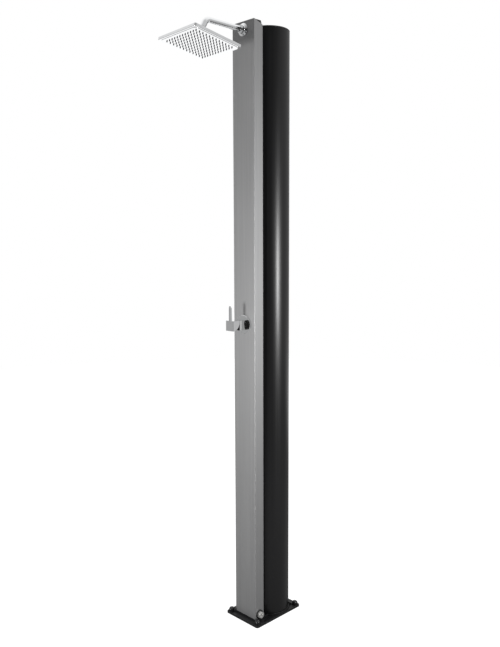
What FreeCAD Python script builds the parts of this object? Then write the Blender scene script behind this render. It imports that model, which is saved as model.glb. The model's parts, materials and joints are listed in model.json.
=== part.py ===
"""Outdoor solar shower post: a folded steel front panel and a black water tank on one base.

Millimetres, +Z up, the front faces -Y. The origin is the centre of the base's four
bolt holes, on the floor. Cold water enters at the right of the foot and goes two ways:
to the mixer, and into the bottom of the tank. Sun-warmed water leaves the top of the
tank, comes down to the mixer, and the mixed water rises to the arm and the head.
"""
import FreeCAD, Part
import math
import os

os.makedirs("parts", exist_ok=True)

# Clearances, used wherever two pieces meet
RUN = 0.05          # radial gap of a shaft that turns in a bore
SLIP = 0.2          # gap of a piece dropped or screwed into another
BALL_GAP = 0.25     # gap between the concentric balls and cups of the swivel
TIP_ROOM = 0.5      # room left in a blind hole beyond a screw's tip
NUT_ROOM = 1.0      # gap between a nut and the fitting behind it

# Base moulding
BASE_WIDTH = 170.0
BASE_DEPTH = 240.0
BASE_THICK = 8.0
BASE_CORNER = 9.0
BASE_EDGE = 1.5
PLINTH_HIGH = 6.0
PLINTH_MARGIN = 3.5
PLINTH_EDGE = 1.0
BOLT_INSET = 15.0
BOLT_HOLE_R = 5.5
BOSS_R = 13.0
BOSS_HIGH = 3.0
GUSSET_THICK = 5.0
GUSSET_HIGH = 14.0
WASHER_THICK = 2.0
CAP_R = 10.5
CAP_HIGH = 9.0
CAP_WALL = 1.6
CAP_ROUND = 7.0

# Front panel, folded from sheet
PANEL_WIDTH = 109.0
PANEL_DEPTH = 43.0
PANEL_TOP = 2200.0
PANEL_SETBACK = 22.0
SHEET = 1.5
BEND_R = 2.5
RETURN_LIP = 11.0
CHAMFER_BACK = 8.0
CHAMFER_DOWN = 16.0
COVER_THICK = 1.5
TOP_CAP_THICK = 3.0
TOP_CAP_SKIRT = 9.0
TOP_CAP_SUNK = 0.5
COVER_SCREWS_A_SIDE = 6
COVER_SCREW_R = 1.5
COVER_SCREW_HEAD_R = 3.0
COVER_SCREW_HEAD = 1.6
COVER_SCREW_PAST = 2.0
COVER_SCREW_INSET = 30.0
FOOT_SCREW_X = 34.0
FOOT_SCREW_R = 2.5
FOOT_SCREW_BOTTOM = 2.5
FOOT_THICK = 3.0
FOOT_RISE = 46.0

# Tank, a standard pipe of 160 mm outside
TANK_R = 80.0
TANK_WALL = 5.0
TANK_BELOW_PANEL = 10.0
TANK_GAP = 0.5
TANK_CAP_THICK = 5.0
TANK_CAP_ROUND = 2.0
PLUG_THICK = 8.0
PLUG_SKIRT = 26.0
PLUG_WALL = 6.0
RING_R = 1.75
RING_FROM_END = 8.0
TANK_SCREW_R = 2.5
TANK_SCREW_IN = 22.0
TANK_SCREW_HEAD_R = 4.8
TANK_SCREW_HEAD = 2.6
TANK_SCREW_SUNK = 0.5
SADDLE_HALF = 38.0
SADDLE_HIGH = 40.0
SADDLES = 3
SADDLE_INSET = 220.0
SADDLE_SCREW_X = 14.0
SADDLE_SCREW_R = 2.0
SADDLE_SCREW_BITE = 3.0

# Pipes and unions inside the panel
PIPE_R = 6.0
PIPE_WALL = 1.2
PIPE_X = 25.0
PIPE_BEHIND = 19.0
PIPE_SOCKET = 10.0
PIPE_NUT_FLATS = 19.0
PIPE_NUT_HIGH = 9.0
FITTING_HALF = 11.0
GALLERY_R = 3.0
CLIP_HIGH = 12.0
CLIP_WALL = 3.0
UNION_R = 7.0
UNION_BORE_R = 4.5
UNION_NUT_FLATS = 22.0
UNION_NUT_THICK = 6.0
UNION_SEAL_R = 12.0
UNION_PAST_NUT = 2.0
FEED_Z = 74.0
HOT_OUTLET_BELOW_TANK = 58.0

# Water inlet at the right of the foot
INLET_Z = 31.0
INLET_HEX_FLATS = 22.0
INLET_HEX_LONG = 11.5
INLET_BORE_R = 5.72
INLET_BORE_LONG = 12.0
INLET_TAIL_R = 9.5
INLET_SEAL_R = 17.0
INLET_SEAL_THICK = 2.5
INLET_NUT_FLATS = 26.0
INLET_NUT_THICK = 6.0
VALVE_R = 7.0
VALVE_LONG = 14.0
VALVE_TOP_ABOVE_INLET = 28.0

# Mixer
MIXER_Z = 1137.0
MIXER_WIDE = 38.0
MIXER_HIGH = 37.0
MIXER_OUT = 41.0
MIXER_EDGE = 1.5
ROSE_R = 34.0
ROSE_THICK = 6.0
ROSE_ROUND = 3.5
ROSE_SEAL_R = 30.0
ROSE_SEAL_BORE_R = 24.0
ROSE_SEAL_THICK = 1.5
MIXER_TAIL_R = 16.0
MIXER_NUT_FLATS = 38.0
MIXER_NUT_THICK = 7.0
SPIGOT_R = 11.5
SPIGOT_LONG = 6.0
WATERWAY_R = 2.5
WATERWAY_OFF = 6.0
MANIFOLD_HALF = 36.0
MANIFOLD_HIGH = 44.0
MANIFOLD_OFF_COVER = 4.0
CARTRIDGE_R = 13.5
CARTRIDGE_WALL = 1.4
CARTRIDGE_FLOOR = 2.0
CARTRIDGE_NUT_R = 15.5
CARTRIDGE_NUT_THICK = 6.0
NUT_OPENING_R = 10.75
NUT_DOME_HIGH = 3.0
NUT_DOME_R = 13.5
NUT_DOME_TOP_R = 11.55
DISC_THICK = 3.0
MOVING_DISC_R = 8.5
MOVING_DISC_THICK = 5.0
MOVING_DISC_ROOM = 0.3
STEM_WIDE = 6.0
STEM_ARM = 8.0
STEM_BALL_R = 1.6
STEM_BALL_DEEP = 2.0
STEM_LONG = 39.0
STEM_SLOT_DOWN = 8.0
STEM_SLOT_UP = 5.5
PIVOT_PIN_R = 1.5
PIVOT_PIN_HALF = 10.6
HANDLE_WIDE = 39.0
HANDLE_HIGH = 37.0
HANDLE_DEEP = 31.5
HANDLE_GAP = 1.0
HANDLE_ROUND = 32.0
HANDLE_RECESS_R = 15.5
HANDLE_RECESS_DEEP = 7.0
LEVER_LONG = 53.0
LEVER_BASE = 8.6
LEVER_TOP = 8.0
LEVER_TIP = 3.6
LEVER_TIP_LONG = 9.0
LEVER_STUD_R = 2.0
LEVER_STUD_LONG = 7.0
GRUB_R = 2.0
GRUB_LONG = 7.0

# Arm
ARM_BELOW_PANEL = 28.0
ARM_R = 10.0
ARM_BORE_R = 8.0
ARM_REACH = 193.3
ARM_TURN = 60.0
ARM_BEND_R = 22.0
ARM_TAIL = 20.0
BALL_BELOW_ARM = 40.6
FLANGE_R = 22.0
FLANGE_THICK = 4.0
FLANGE_ROUND = 1.5
FLANGE_SEAL_R = 19.0
FLANGE_SEAL_BORE_R = 15.0
FLANGE_HUB_R = 14.5
FLANGE_HUB_LONG = 14.0
FLANGE_HUB_ROUND = 1.0
ARM_NUT_FLATS = 30.0
ARM_NUT_THICK = 6.0
ARM_ELBOW_HALF = 15.0
ARM_ELBOW_DEEP = 13.0

# Shower head on its ball
HEAD_SIDE = 198.0
HEAD_CORNER = 6.0
HEAD_EDGE = 1.0
HEAD_RIM = 10.0
HEAD_WALL = 2.0
HEAD_DROP = 46.0
HEAD_TILT = 10.0
HEAD_LEAN = 1.5
HEAD_SPIN = 1.6
BALL_R = 10.0
BALL_BORE_R = 3.0
NECK_R = 4.5
NECK_LONG = 4.6
STUD_IN_ARM = 8.0
COLLAR_R = 9.5
COLLAR_THICK = 2.0
SEAT_THICK = 1.8
SEAT_BELOW = 3.0
SEAT_HIGH = 5.5
HUB_R = 14.0
HUB_FOOT_R = 24.0
HUB_FOOT_HIGH = 14.0
NUT_R = 16.5
NUT_ABOVE = 5.0
NUT_BELOW = 10.0
NUT_ROUND = 1.2
HUB_ROOM = 0.5
WATER_BORE_R = 4.0
FLOW_WASHER_R = 7.0
FLOW_WASHER_THICK = 3.5
FLOW_WASHER_ROOM = 0.5
FACE_THICK = 1.5
FACE_PROUD = 1.0
FACE_MARGIN = 7.0
FACE_CORNER = 10.0
LIP_BEHIND = 3.0
LIP_THICK = 3.0
NOZZLES_A_SIDE = 12
NOZZLE_PITCH = 13.9
NOZZLE_R = 2.3
NOZZLE_TIP_R = 1.61
NOZZLE_PROUD = 3.4
NOZZLE_BORE_R = 0.6
MAT_THICK = 1.5

# Places worked out from the sizes above
PLINTH_TOP = BASE_THICK + PLINTH_HIGH
TANK_TOP = PANEL_TOP - TANK_BELOW_PANEL
HOT_OUTLET_Z = TANK_TOP - HOT_OUTLET_BELOW_TANK
ARM_Z = PANEL_TOP - ARM_BELOW_PANEL
PANEL_FRONT = -BASE_DEPTH / 2 + PANEL_SETBACK
PANEL_BACK = PANEL_FRONT + PANEL_DEPTH
PANEL_INNER = PANEL_FRONT + SHEET
COVER_BACK = PANEL_BACK - SHEET
COVER_FRONT = COVER_BACK - COVER_THICK
PANEL_HALF = PANEL_WIDTH / 2
TANK_Y = PANEL_BACK + TANK_GAP + TANK_R
TANK_INNER_R = TANK_R - TANK_WALL
TANK_TUBE_TOP = TANK_TOP - TANK_CAP_THICK
PIPE_Y = PANEL_FRONT + PIPE_BEHIND
BOLT_X = BASE_WIDTH / 2 - BOLT_INSET
BOLT_Y = BASE_DEPTH / 2 - BOLT_INSET
BALL_Y = PANEL_FRONT - ARM_REACH
BALL_Z = ARM_Z - BALL_BELOW_ARM
ARM_SLANT = math.radians(90 - ARM_TURN)
ARM_BEND_REACH = ARM_BEND_R * math.tan(math.radians(ARM_TURN / 2))
ARM_FRONT_Y = BALL_Y + BALL_BELOW_ARM * math.tan(ARM_SLANT) + ARM_BEND_REACH
BALL_TO_ARM = BALL_R + NECK_LONG
BALL_TO_BEND = BALL_BELOW_ARM / math.cos(ARM_SLANT) - ARM_BEND_REACH
TEE_RIGHT = PIPE_X + FITTING_HALF
TEE_TOP = FEED_Z + FITTING_HALF + PIPE_SOCKET
VALVE_TOP = INLET_Z + VALVE_TOP_ABOVE_INLET
MANIFOLD_FRONT = PANEL_INNER + MIXER_NUT_THICK + NUT_ROOM
MANIFOLD_BACK = COVER_FRONT - MANIFOLD_OFF_COVER
MANIFOLD_LOW = MIXER_Z - MANIFOLD_HIGH / 2
MANIFOLD_TOP = MIXER_Z + MANIFOLD_HIGH / 2
ARM_ELBOW_LOW = ARM_Z - ARM_ELBOW_HALF
ARM_ELBOW_FRONT = PANEL_INNER + ARM_NUT_THICK + NUT_ROOM
ARM_ELBOW_BACK = PIPE_Y + ARM_ELBOW_DEEP
ARM_GALLERY_Y = PIPE_Y + GALLERY_R
CLIP_LOW_Z = (TEE_TOP + MANIFOLD_LOW) / 2
CLIP_HIGH_Z = (MANIFOLD_TOP + ARM_ELBOW_LOW) / 2
CARTRIDGE_FRONT = MIXER_OUT - CARTRIDGE_NUT_THICK
CARTRIDGE_BACK = ROSE_THICK + CARTRIDGE_FLOOR
CARTRIDGE_ROOM_R = CARTRIDGE_R - CARTRIDGE_WALL
MOVING_DISC_BACK = CARTRIDGE_BACK + 2 * DISC_THICK + RUN
MOVING_DISC_FRONT = MOVING_DISC_BACK + MOVING_DISC_THICK
ROTOR_BACK = MOVING_DISC_FRONT + MOVING_DISC_ROOM
BALL_OUT = MOVING_DISC_FRONT - STEM_BALL_DEEP
STEM_PIVOT = BALL_OUT + STEM_ARM
HANDLE_BACK = MIXER_OUT + HANDLE_GAP
GRUB_OUT = HANDLE_BACK + HANDLE_DEEP / 2
LEVER_OUT = HANDLE_BACK + HANDLE_DEEP - LEVER_BASE / 2
RIM_LOW = -HEAD_DROP + FACE_PROUD
RIM_TOP = RIM_LOW + HEAD_RIM
FACE_SIDE = HEAD_SIDE - 2 * FACE_MARGIN
CAVITY_R = BALL_R + BALL_GAP + SEAT_THICK + BALL_GAP
FLOW_WASHER_LOW = -CAVITY_R - FLOW_WASHER_THICK - FLOW_WASHER_ROOM
UNION_HEIGHTS = (FEED_Z, HOT_OUTLET_Z)
BOTTOM_RING_Z = PLINTH_TOP + PLUG_SKIRT - RING_FROM_END
TOP_RING_Z = TANK_TUBE_TOP - PLUG_SKIRT + RING_FROM_END

X_AXIS = FreeCAD.Vector(1, 0, 0)
Y_AXIS = FreeCAD.Vector(0, 1, 0)
Z_AXIS = FreeCAD.Vector(0, 0, 1)
V = FreeCAD.Vector


# ---- small shape helpers -------------------------------------------------

def block(x0, x1, y0, y1, z0, z1):
    """Box between two corners."""
    return Part.makeBox(x1 - x0, y1 - y0, z1 - z0, V(x0, y0, z0))


def rod(radius, start, end):
    """Round bar from one point to another."""
    along = V(*end) - V(*start)
    return Part.makeCylinder(radius, along.Length, V(*start), along)


def tube(radius, bore, start, end):
    """Round bar with a hole along it."""
    return rod(radius, start, end).cut(rod(bore, start, end))


def cone(radius0, radius1, start, end):
    """Round bar that tapers from one point to another."""
    along = V(*end) - V(*start)
    return Part.makeCone(radius0, radius1, along.Length, V(*start), along)


def hexagon(flats, start, end, turn=0.0):
    """Hexagonal bar, by its width across flats."""
    along = V(*end) - V(*start)
    side = V(0, 0, 1) if abs(along.z) < 0.5 * along.Length else V(1, 0, 0)
    radius = flats / math.sqrt(3)
    corners = []
    for step in range(7):
        spin = FreeCAD.Rotation(along, turn + 60 * step)
        corners.append(V(*start) + spin.multVec(side) * radius)
    return Part.Face(Part.makePolygon(corners)).extrude(along)


def prism_x(outline, x0, x1):
    """Prism along X from a list of (y, z) corners."""
    corners = [V(x0, y, z) for y, z in outline + outline[:1]]
    return Part.Face(Part.makePolygon(corners)).extrude(V(x1 - x0, 0, 0))


def slab(wide, deep, corner, z0, z1, x=0.0, y=0.0):
    """Upright block with its four vertical corners rounded."""
    body = block(x - wide / 2, x + wide / 2, y - deep / 2, y + deep / 2, z0, z1)
    uprights = [e for e in body.Edges if abs(e.tangentAt(e.FirstParameter).z) > 0.9]
    return body.makeFillet(corner, uprights)


def ring(radius, thickness_r, centre):
    """Round-section sealing ring about a vertical axis."""
    return Part.makeTorus(radius, thickness_r, V(*centre), Z_AXIS)


def join(first, *others):
    """One solid from several."""
    return first.multiFuse(list(others)).removeSplitter()


def round_edges(shape, radius, wanted):
    """Fillet the edges that a test picks."""
    return shape.makeFillet(radius, [e for e in shape.Edges if wanted(e)])


def level_at(z):
    """Test for edges that lie flat at one height."""
    return lambda edge: all(abs(v.Z - z) < 1e-4 for v in edge.Vertexes) and (
        abs(edge.BoundBox.ZMax - z) < 1e-4 and abs(edge.BoundBox.ZMin - z) < 1e-4
    )


def upright_at(y):
    """Test for upright edges at one Y."""
    return lambda edge: edge.BoundBox.ZLength > 1 and abs(edge.BoundBox.YMax - y) < 1e-3


def save(name, *solids):
    """Write one node, as one solid or as a group of separate ones."""
    shape = solids[0] if len(solids) == 1 else Part.makeCompound(list(solids))
    shape.exportStep("parts/" + name + ".step")


def bolt_places():
    return [(sx * BOLT_X, sy * BOLT_Y) for sx in (-1, 1) for sy in (-1, 1)]


# ---- base ---------------------------------------------------------------

def tank_screw_places():
    circle_r = TANK_INNER_R - TANK_SCREW_IN
    places = []
    for step in range(4):
        angle = math.radians(45 + 90 * step)
        places.append((circle_r * math.cos(angle), TANK_Y + circle_r * math.sin(angle)))
    return places


def foot_screw_places():
    return [(x, PIPE_Y) for x in (-FOOT_SCREW_X, 0.0)]


def gusset(bolt_x, bolt_y):
    """Upright rib from the tank's or the panel's foot to one bolt boss."""
    bolt = V(bolt_x, bolt_y, 0)
    start = V(math.copysign(PANEL_HALF - BEND_R, bolt_x), PANEL_FRONT + GUSSET_THICK / 2, 0)
    if bolt_y > 0:
        axis = V(0, TANK_Y, 0)
        start = axis + (bolt - axis).normalize() * (TANK_R - PLINTH_MARGIN)
    end = bolt - (bolt - start).normalize() * (CAP_R + 1)
    across = (end - start).cross(Z_AXIS).normalize() * (GUSSET_THICK / 2)
    low = BASE_THICK - 1
    outline = [start - across + Z_AXIS * low, end - across + Z_AXIS * low,
               end - across + Z_AXIS * (BASE_THICK + BOSS_HIGH),
               start - across + Z_AXIS * (BASE_THICK + GUSSET_HIGH)]
    face = Part.Face(Part.makePolygon(outline + outline[:1]))
    return face.extrude(across * 2)


def base_plate():
    plate = slab(BASE_WIDTH, BASE_DEPTH, BASE_CORNER, 0, BASE_THICK)
    plate = round_edges(plate, BASE_EDGE, level_at(BASE_THICK))
    foot_wide = PANEL_WIDTH + 2 * PLINTH_MARGIN
    panel_foot = block(-foot_wide / 2, foot_wide / 2, PANEL_FRONT, TANK_Y, BASE_THICK - 1, PLINTH_TOP)
    tank_foot = rod(TANK_R + PLINTH_MARGIN, (0, TANK_Y, BASE_THICK - 1), (0, TANK_Y, PLINTH_TOP))
    raised = round_edges(join(panel_foot, tank_foot), PLINTH_EDGE, level_at(PLINTH_TOP))
    bosses = [rod(BOSS_R, (x, y, BASE_THICK - 1), (x, y, BASE_THICK + BOSS_HIGH)) for x, y in bolt_places()]
    ribs = [gusset(x, y) for x, y in bolt_places()]
    clear_panel = block(-PANEL_HALF - SLIP, PANEL_HALF + SLIP, PANEL_FRONT - SLIP,
                        PANEL_BACK + SLIP, PLINTH_TOP, PANEL_TOP)
    clear_tank = rod(TANK_R + SLIP, (0, TANK_Y, PLINTH_TOP), (0, TANK_Y, TANK_TOP))
    solid = join(plate, raised, *bosses, *ribs).cut([clear_panel, clear_tank])
    seat, above = BASE_THICK + BOSS_HIGH, BASE_THICK + GUSSET_HIGH + 1
    holes = [rod(BOLT_HOLE_R, (x, y, -1), (x, y, above)) for x, y in bolt_places()]
    holes += [rod(CAP_R + SLIP, (x, y, seat), (x, y, above)) for x, y in bolt_places()]
    for x, y in tank_screw_places():
        holes.append(rod(TANK_SCREW_R + SLIP, (x, y, -1), (x, y, PLINTH_TOP + 1)))
        holes.append(rod(TANK_SCREW_HEAD_R + SLIP, (x, y, -1), (x, y, TANK_SCREW_SUNK)))
        holes.append(cone(TANK_SCREW_HEAD_R + SLIP, TANK_SCREW_R + SLIP, (x, y, TANK_SCREW_SUNK),
                          (x, y, TANK_SCREW_SUNK + TANK_SCREW_HEAD)))
    for x, y in foot_screw_places():
        holes.append(rod(FOOT_SCREW_R, (x, y, FOOT_SCREW_BOTTOM), (x, y, PLINTH_TOP + 1)))
    return solid.cut(holes)


def bolt_washer(x, y):
    low = BASE_THICK + BOSS_HIGH
    return tube(CAP_R, BOLT_HOLE_R, (x, y, low), (x, y, low + WASHER_THICK))


def bolt_cap(x, y):
    """Hollow dome that hides a floor bolt's head."""
    low = BASE_THICK + BOSS_HIGH + WASHER_THICK
    dome = rod(CAP_R, (x, y, low), (x, y, low + CAP_HIGH))
    dome = round_edges(dome, CAP_ROUND, level_at(low + CAP_HIGH))
    hollow = rod(CAP_R - CAP_WALL, (x, y, low - 1), (x, y, low + CAP_HIGH - CAP_WALL))
    hollow = round_edges(hollow, CAP_ROUND, level_at(low + CAP_HIGH - CAP_WALL))
    return dome.cut(hollow)


save("base_plate", base_plate())
save("bolt_washers", *[bolt_washer(x, y) for x, y in bolt_places()])
save("bolt_caps", *[bolt_cap(x, y) for x, y in bolt_places()])


# ---- front panel ----------------------------------------------------------

def chamfer_cut(inset=0.0):
    """Wedge above the sloping top rear corner, moved inwards by an inset."""
    start = PANEL_BACK - CHAMFER_BACK - inset
    reach = 2 * (CHAMFER_BACK + inset)
    drop = reach * CHAMFER_DOWN / CHAMFER_BACK
    wedge = [(start, PANEL_TOP), (start + reach, PANEL_TOP - drop), (start + reach, PANEL_TOP + reach),
             (start, PANEL_TOP + reach)]
    return prism_x(wedge, -PANEL_WIDTH, PANEL_WIDTH)


def cover_screw_places():
    x = PANEL_HALF - SHEET - RETURN_LIP / 2
    low, high = PLINTH_TOP + COVER_SCREW_INSET, PANEL_TOP - CHAMFER_DOWN - COVER_SCREW_INSET
    pitch = (high - low) / (COVER_SCREWS_A_SIDE - 1)
    return [(sx * x, low + pitch * n) for sx in (-1, 1) for n in range(COVER_SCREWS_A_SIDE)]


def saddle_heights():
    """Bottom of each saddle, spread evenly up the tank."""
    low, high = PLINTH_TOP + SADDLE_INSET, TANK_TUBE_TOP - SADDLE_INSET
    return [low + (high - low) * n / (SADDLES - 1) - SADDLE_HIGH / 2 for n in range(SADDLES)]


def saddle_screw_places():
    return [(sx * SADDLE_SCREW_X, z + SADDLE_HIGH / 2) for sx in (-1, 1) for z in saddle_heights()]


def front_panel():
    """Open channel with a narrow return along each rear edge."""
    outer = block(-PANEL_HALF, PANEL_HALF, PANEL_FRONT, PANEL_BACK, PLINTH_TOP, PANEL_TOP)
    outer = round_edges(outer, BEND_R, upright_at(PANEL_FRONT))
    half = PANEL_HALF - SHEET
    inner = block(-half, half, PANEL_INNER, COVER_BACK, PLINTH_TOP - 1, PANEL_TOP + 1)
    inner = round_edges(inner, BEND_R - SHEET, upright_at(PANEL_INNER))
    mouth_half = half - RETURN_LIP
    mouth = block(-mouth_half, mouth_half, COVER_BACK - 1, PANEL_BACK + 1, PLINTH_TOP - 1, PANEL_TOP + 1)
    holes = [
        rod(MIXER_TAIL_R + SLIP, (0, PANEL_FRONT - 1, MIXER_Z), (0, PANEL_INNER + 1, MIXER_Z)),
        rod(ARM_R + SLIP, (0, PANEL_FRONT - 1, ARM_Z), (0, PANEL_INNER + 1, ARM_Z)),
        rod(INLET_TAIL_R + SLIP, (half - 1, PIPE_Y, INLET_Z), (PANEL_HALF + 1, PIPE_Y, INLET_Z)),
    ]
    for x, z in cover_screw_places():
        holes.append(rod(COVER_SCREW_R + RUN, (x, COVER_BACK - 1, z), (x, PANEL_BACK + 1, z)))
    return outer.cut([inner, mouth, chamfer_cut()] + holes)


def panel_top_cap():
    """Plastic lid inside the channel's top, following the slope at its rear."""
    half = PANEL_HALF - SHEET - SLIP
    front = PANEL_INNER + SLIP
    top = PANEL_TOP - TOP_CAP_SUNK
    lid = block(-half, half, front, COVER_BACK - SLIP, top - TOP_CAP_SKIRT, top)
    lid = round_edges(lid, BEND_R - SHEET, upright_at(front))
    lid = lid.cut(chamfer_cut(TOP_CAP_SUNK))
    room = block(-half + TOP_CAP_THICK, half - TOP_CAP_THICK, front + TOP_CAP_THICK,
                 COVER_BACK - SLIP - 1, top - TOP_CAP_SKIRT - 1, top - TOP_CAP_THICK)
    return lid.cut(room.cut(chamfer_cut(TOP_CAP_THICK)))


def rear_cover():
    """Flat strip behind the channel's two returns."""
    half = PANEL_HALF - SHEET - SLIP
    top = PANEL_TOP - TOP_CAP_SUNK - TOP_CAP_SKIRT
    strip = block(-half, half, COVER_FRONT, COVER_BACK, PLINTH_TOP, top).cut(chamfer_cut(TOP_CAP_SUNK))
    holes = [rod(UNION_R + SLIP, (0, COVER_FRONT - 1, z), (0, COVER_BACK + 1, z)) for z in UNION_HEIGHTS]
    for x, z in cover_screw_places():
        holes.append(rod(COVER_SCREW_R + RUN, (x, COVER_FRONT - 1, z), (x, COVER_BACK + 1, z)))
    for x, z in saddle_screw_places():
        holes.append(rod(SADDLE_SCREW_R + RUN, (x, COVER_FRONT - 1, z), (x, COVER_BACK + 1, z)))
    return strip.cut(holes)


def cover_screw(x, z):
    shank = rod(COVER_SCREW_R, (x, COVER_FRONT - COVER_SCREW_PAST, z), (x, PANEL_BACK, z))
    head = rod(COVER_SCREW_HEAD_R, (x, PANEL_BACK, z), (x, PANEL_BACK + COVER_SCREW_HEAD, z))
    return join(shank, head)


def foot_bracket():
    """Channel-shaped foot, spot-welded inside the panel and screwed to the base."""
    half = PANEL_HALF - SHEET
    front, back = PANEL_INNER + BEND_R, COVER_FRONT - SLIP
    low, high = PLINTH_TOP, PLINTH_TOP + FOOT_RISE
    solid = block(-half, half, front, back, low, high)
    inside = half - FOOT_THICK
    solid = solid.cut(block(-inside, inside, front - 1, back + 1, low + FOOT_THICK, high + 1))
    holes = [rod(INLET_TAIL_R + SLIP, (half - FOOT_THICK - 1, PIPE_Y, INLET_Z), (half + 1, PIPE_Y, INLET_Z))]
    for x, y in foot_screw_places():
        holes.append(rod(FOOT_SCREW_R + RUN, (x, y, low - 1), (x, y, low + FOOT_THICK + 1)))
    return solid.cut(holes)


def foot_screw(x, y):
    seat = PLINTH_TOP + FOOT_THICK
    shank = rod(FOOT_SCREW_R - RUN, (x, y, FOOT_SCREW_BOTTOM + TIP_ROOM), (x, y, seat))
    return join(shank, rod(2 * FOOT_SCREW_R, (x, y, seat), (x, y, seat + FOOT_SCREW_R)))


save("front_panel", front_panel())
save("panel_top_cap", panel_top_cap())
save("rear_cover", rear_cover())
save("cover_screws", *[cover_screw(x, z) for x, z in cover_screw_places()])
save("foot_bracket", foot_bracket())
save("foot_screws", *[foot_screw(x, y) for x, y in foot_screw_places()])


# ---- tank ---------------------------------------------------------------

def tank_wall(radius, x):
    """Y of the tank's front surface at one X."""
    return TANK_Y - math.sqrt(radius ** 2 - x ** 2)


def tank_tube():
    pipe = tube(TANK_R, TANK_INNER_R, (0, TANK_Y, PLINTH_TOP), (0, TANK_Y, TANK_TUBE_TOP))
    holes = [rod(UNION_R + SLIP, (0, COVER_BACK, z), (0, TANK_Y, z)) for z in UNION_HEIGHTS]
    for x, z in saddle_screw_places():
        bite = tank_wall(TANK_R, x) + SADDLE_SCREW_BITE + TIP_ROOM
        holes.append(rod(SADDLE_SCREW_R + RUN, (x, COVER_BACK, z), (x, bite, z)))
    return pipe.cut(holes)


def plug_skirt(low, high, groove_z):
    """Ring that fills the pipe's bore, with a groove for a sealing ring."""
    outer = TANK_INNER_R - RUN
    skirt = tube(outer, outer - PLUG_WALL, (0, TANK_Y, low), (0, TANK_Y, high))
    deep = 2 * RING_R + RUN
    groove = tube(outer + 1, TANK_INNER_R - deep, (0, TANK_Y, groove_z - RING_R - RUN),
                  (0, TANK_Y, groove_z + RING_R + RUN))
    return skirt.cut(groove)


def plug_ring(groove_z):
    return ring(TANK_INNER_R - RUN / 2 - RING_R, RING_R, (0, TANK_Y, groove_z))


def tank_bottom_plug():
    floor = rod(TANK_INNER_R - RUN, (0, TANK_Y, PLINTH_TOP), (0, TANK_Y, PLINTH_TOP + PLUG_THICK))
    skirt = plug_skirt(PLINTH_TOP, PLINTH_TOP + PLUG_SKIRT, BOTTOM_RING_Z)
    holes = [rod(TANK_SCREW_R + RUN, (x, y, PLINTH_TOP - 1), (x, y, PLINTH_TOP + PLUG_THICK - 1))
             for x, y in tank_screw_places()]
    return join(floor, skirt).cut(holes)


def tank_top_cap():
    lid = rod(TANK_R, (0, TANK_Y, TANK_TUBE_TOP), (0, TANK_Y, TANK_TOP))
    lid = round_edges(lid, TANK_CAP_ROUND, level_at(TANK_TOP))
    return join(lid, plug_skirt(TANK_TUBE_TOP - PLUG_SKIRT, TANK_TUBE_TOP, TOP_RING_Z))


def tank_screw(x, y):
    neck = TANK_SCREW_SUNK + TANK_SCREW_HEAD
    shank = rod(TANK_SCREW_R, (x, y, neck), (x, y, PLINTH_TOP + PLUG_THICK - 1 - TIP_ROOM))
    head = cone(TANK_SCREW_HEAD_R, TANK_SCREW_R, (x, y, TANK_SCREW_SUNK), (x, y, neck))
    return join(shank, head)


def saddle(z):
    """Wedge pair in one block, hollowed to the tank's curve."""
    solid = block(-SADDLE_HALF, SADDLE_HALF, COVER_BACK, TANK_Y - TANK_R / 2, z, z + SADDLE_HIGH)
    solid = solid.cut(rod(TANK_R, (0, TANK_Y, z - 1), (0, TANK_Y, z + SADDLE_HIGH + 1)))
    middle = z + SADDLE_HIGH / 2
    holes = [rod(SADDLE_SCREW_R + RUN, (sx * SADDLE_SCREW_X, COVER_BACK - 1, middle),
                 (sx * SADDLE_SCREW_X, TANK_Y, middle)) for sx in (-1, 1)]
    return solid.cut(holes)


def saddle_screw(x, z):
    tip = tank_wall(TANK_R, x) + SADDLE_SCREW_BITE
    shank = rod(SADDLE_SCREW_R, (x, COVER_FRONT, z), (x, tip, z))
    head = rod(2 * SADDLE_SCREW_R, (x, COVER_FRONT - SADDLE_SCREW_R, z), (x, COVER_FRONT, z))
    return join(shank, head)


def union_seal(z):
    """Rubber saddle between the rear cover and the tank, round a pipe union."""
    pad = tube(UNION_SEAL_R, UNION_R + SLIP, (0, COVER_BACK, z), (0, TANK_Y, z))
    return pad.cut(rod(TANK_R, (0, TANK_Y, z - 2 * UNION_SEAL_R), (0, TANK_Y, z + 2 * UNION_SEAL_R)))


def union_nut(z):
    """Nut on a union's end, inside the tank."""
    reach = UNION_NUT_FLATS / math.sqrt(3)
    start = tank_wall(TANK_INNER_R, reach) + SLIP
    nut = hexagon(UNION_NUT_FLATS, (0, start, z), (0, start + UNION_NUT_THICK, z))
    return nut.cut(rod(UNION_R + RUN, (0, start - 1, z), (0, start + UNION_NUT_THICK + 1, z)))


save("tank_tube", tank_tube())
save("tank_bottom_plug", tank_bottom_plug())
save("tank_top_cap", tank_top_cap())
save("tank_rings", plug_ring(BOTTOM_RING_Z), plug_ring(TOP_RING_Z))
save("tank_screws", *[tank_screw(x, y) for x, y in tank_screw_places()])
save("saddles", *[saddle(z) for z in saddle_heights()])
save("saddle_screws", *[saddle_screw(x, z) for x, z in saddle_screw_places()])
save("union_seals", *[union_seal(z) for z in UNION_HEIGHTS])
save("union_nuts", *[union_nut(z) for z in UNION_HEIGHTS])


# ---- water inlet ----------------------------------------------------------

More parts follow.
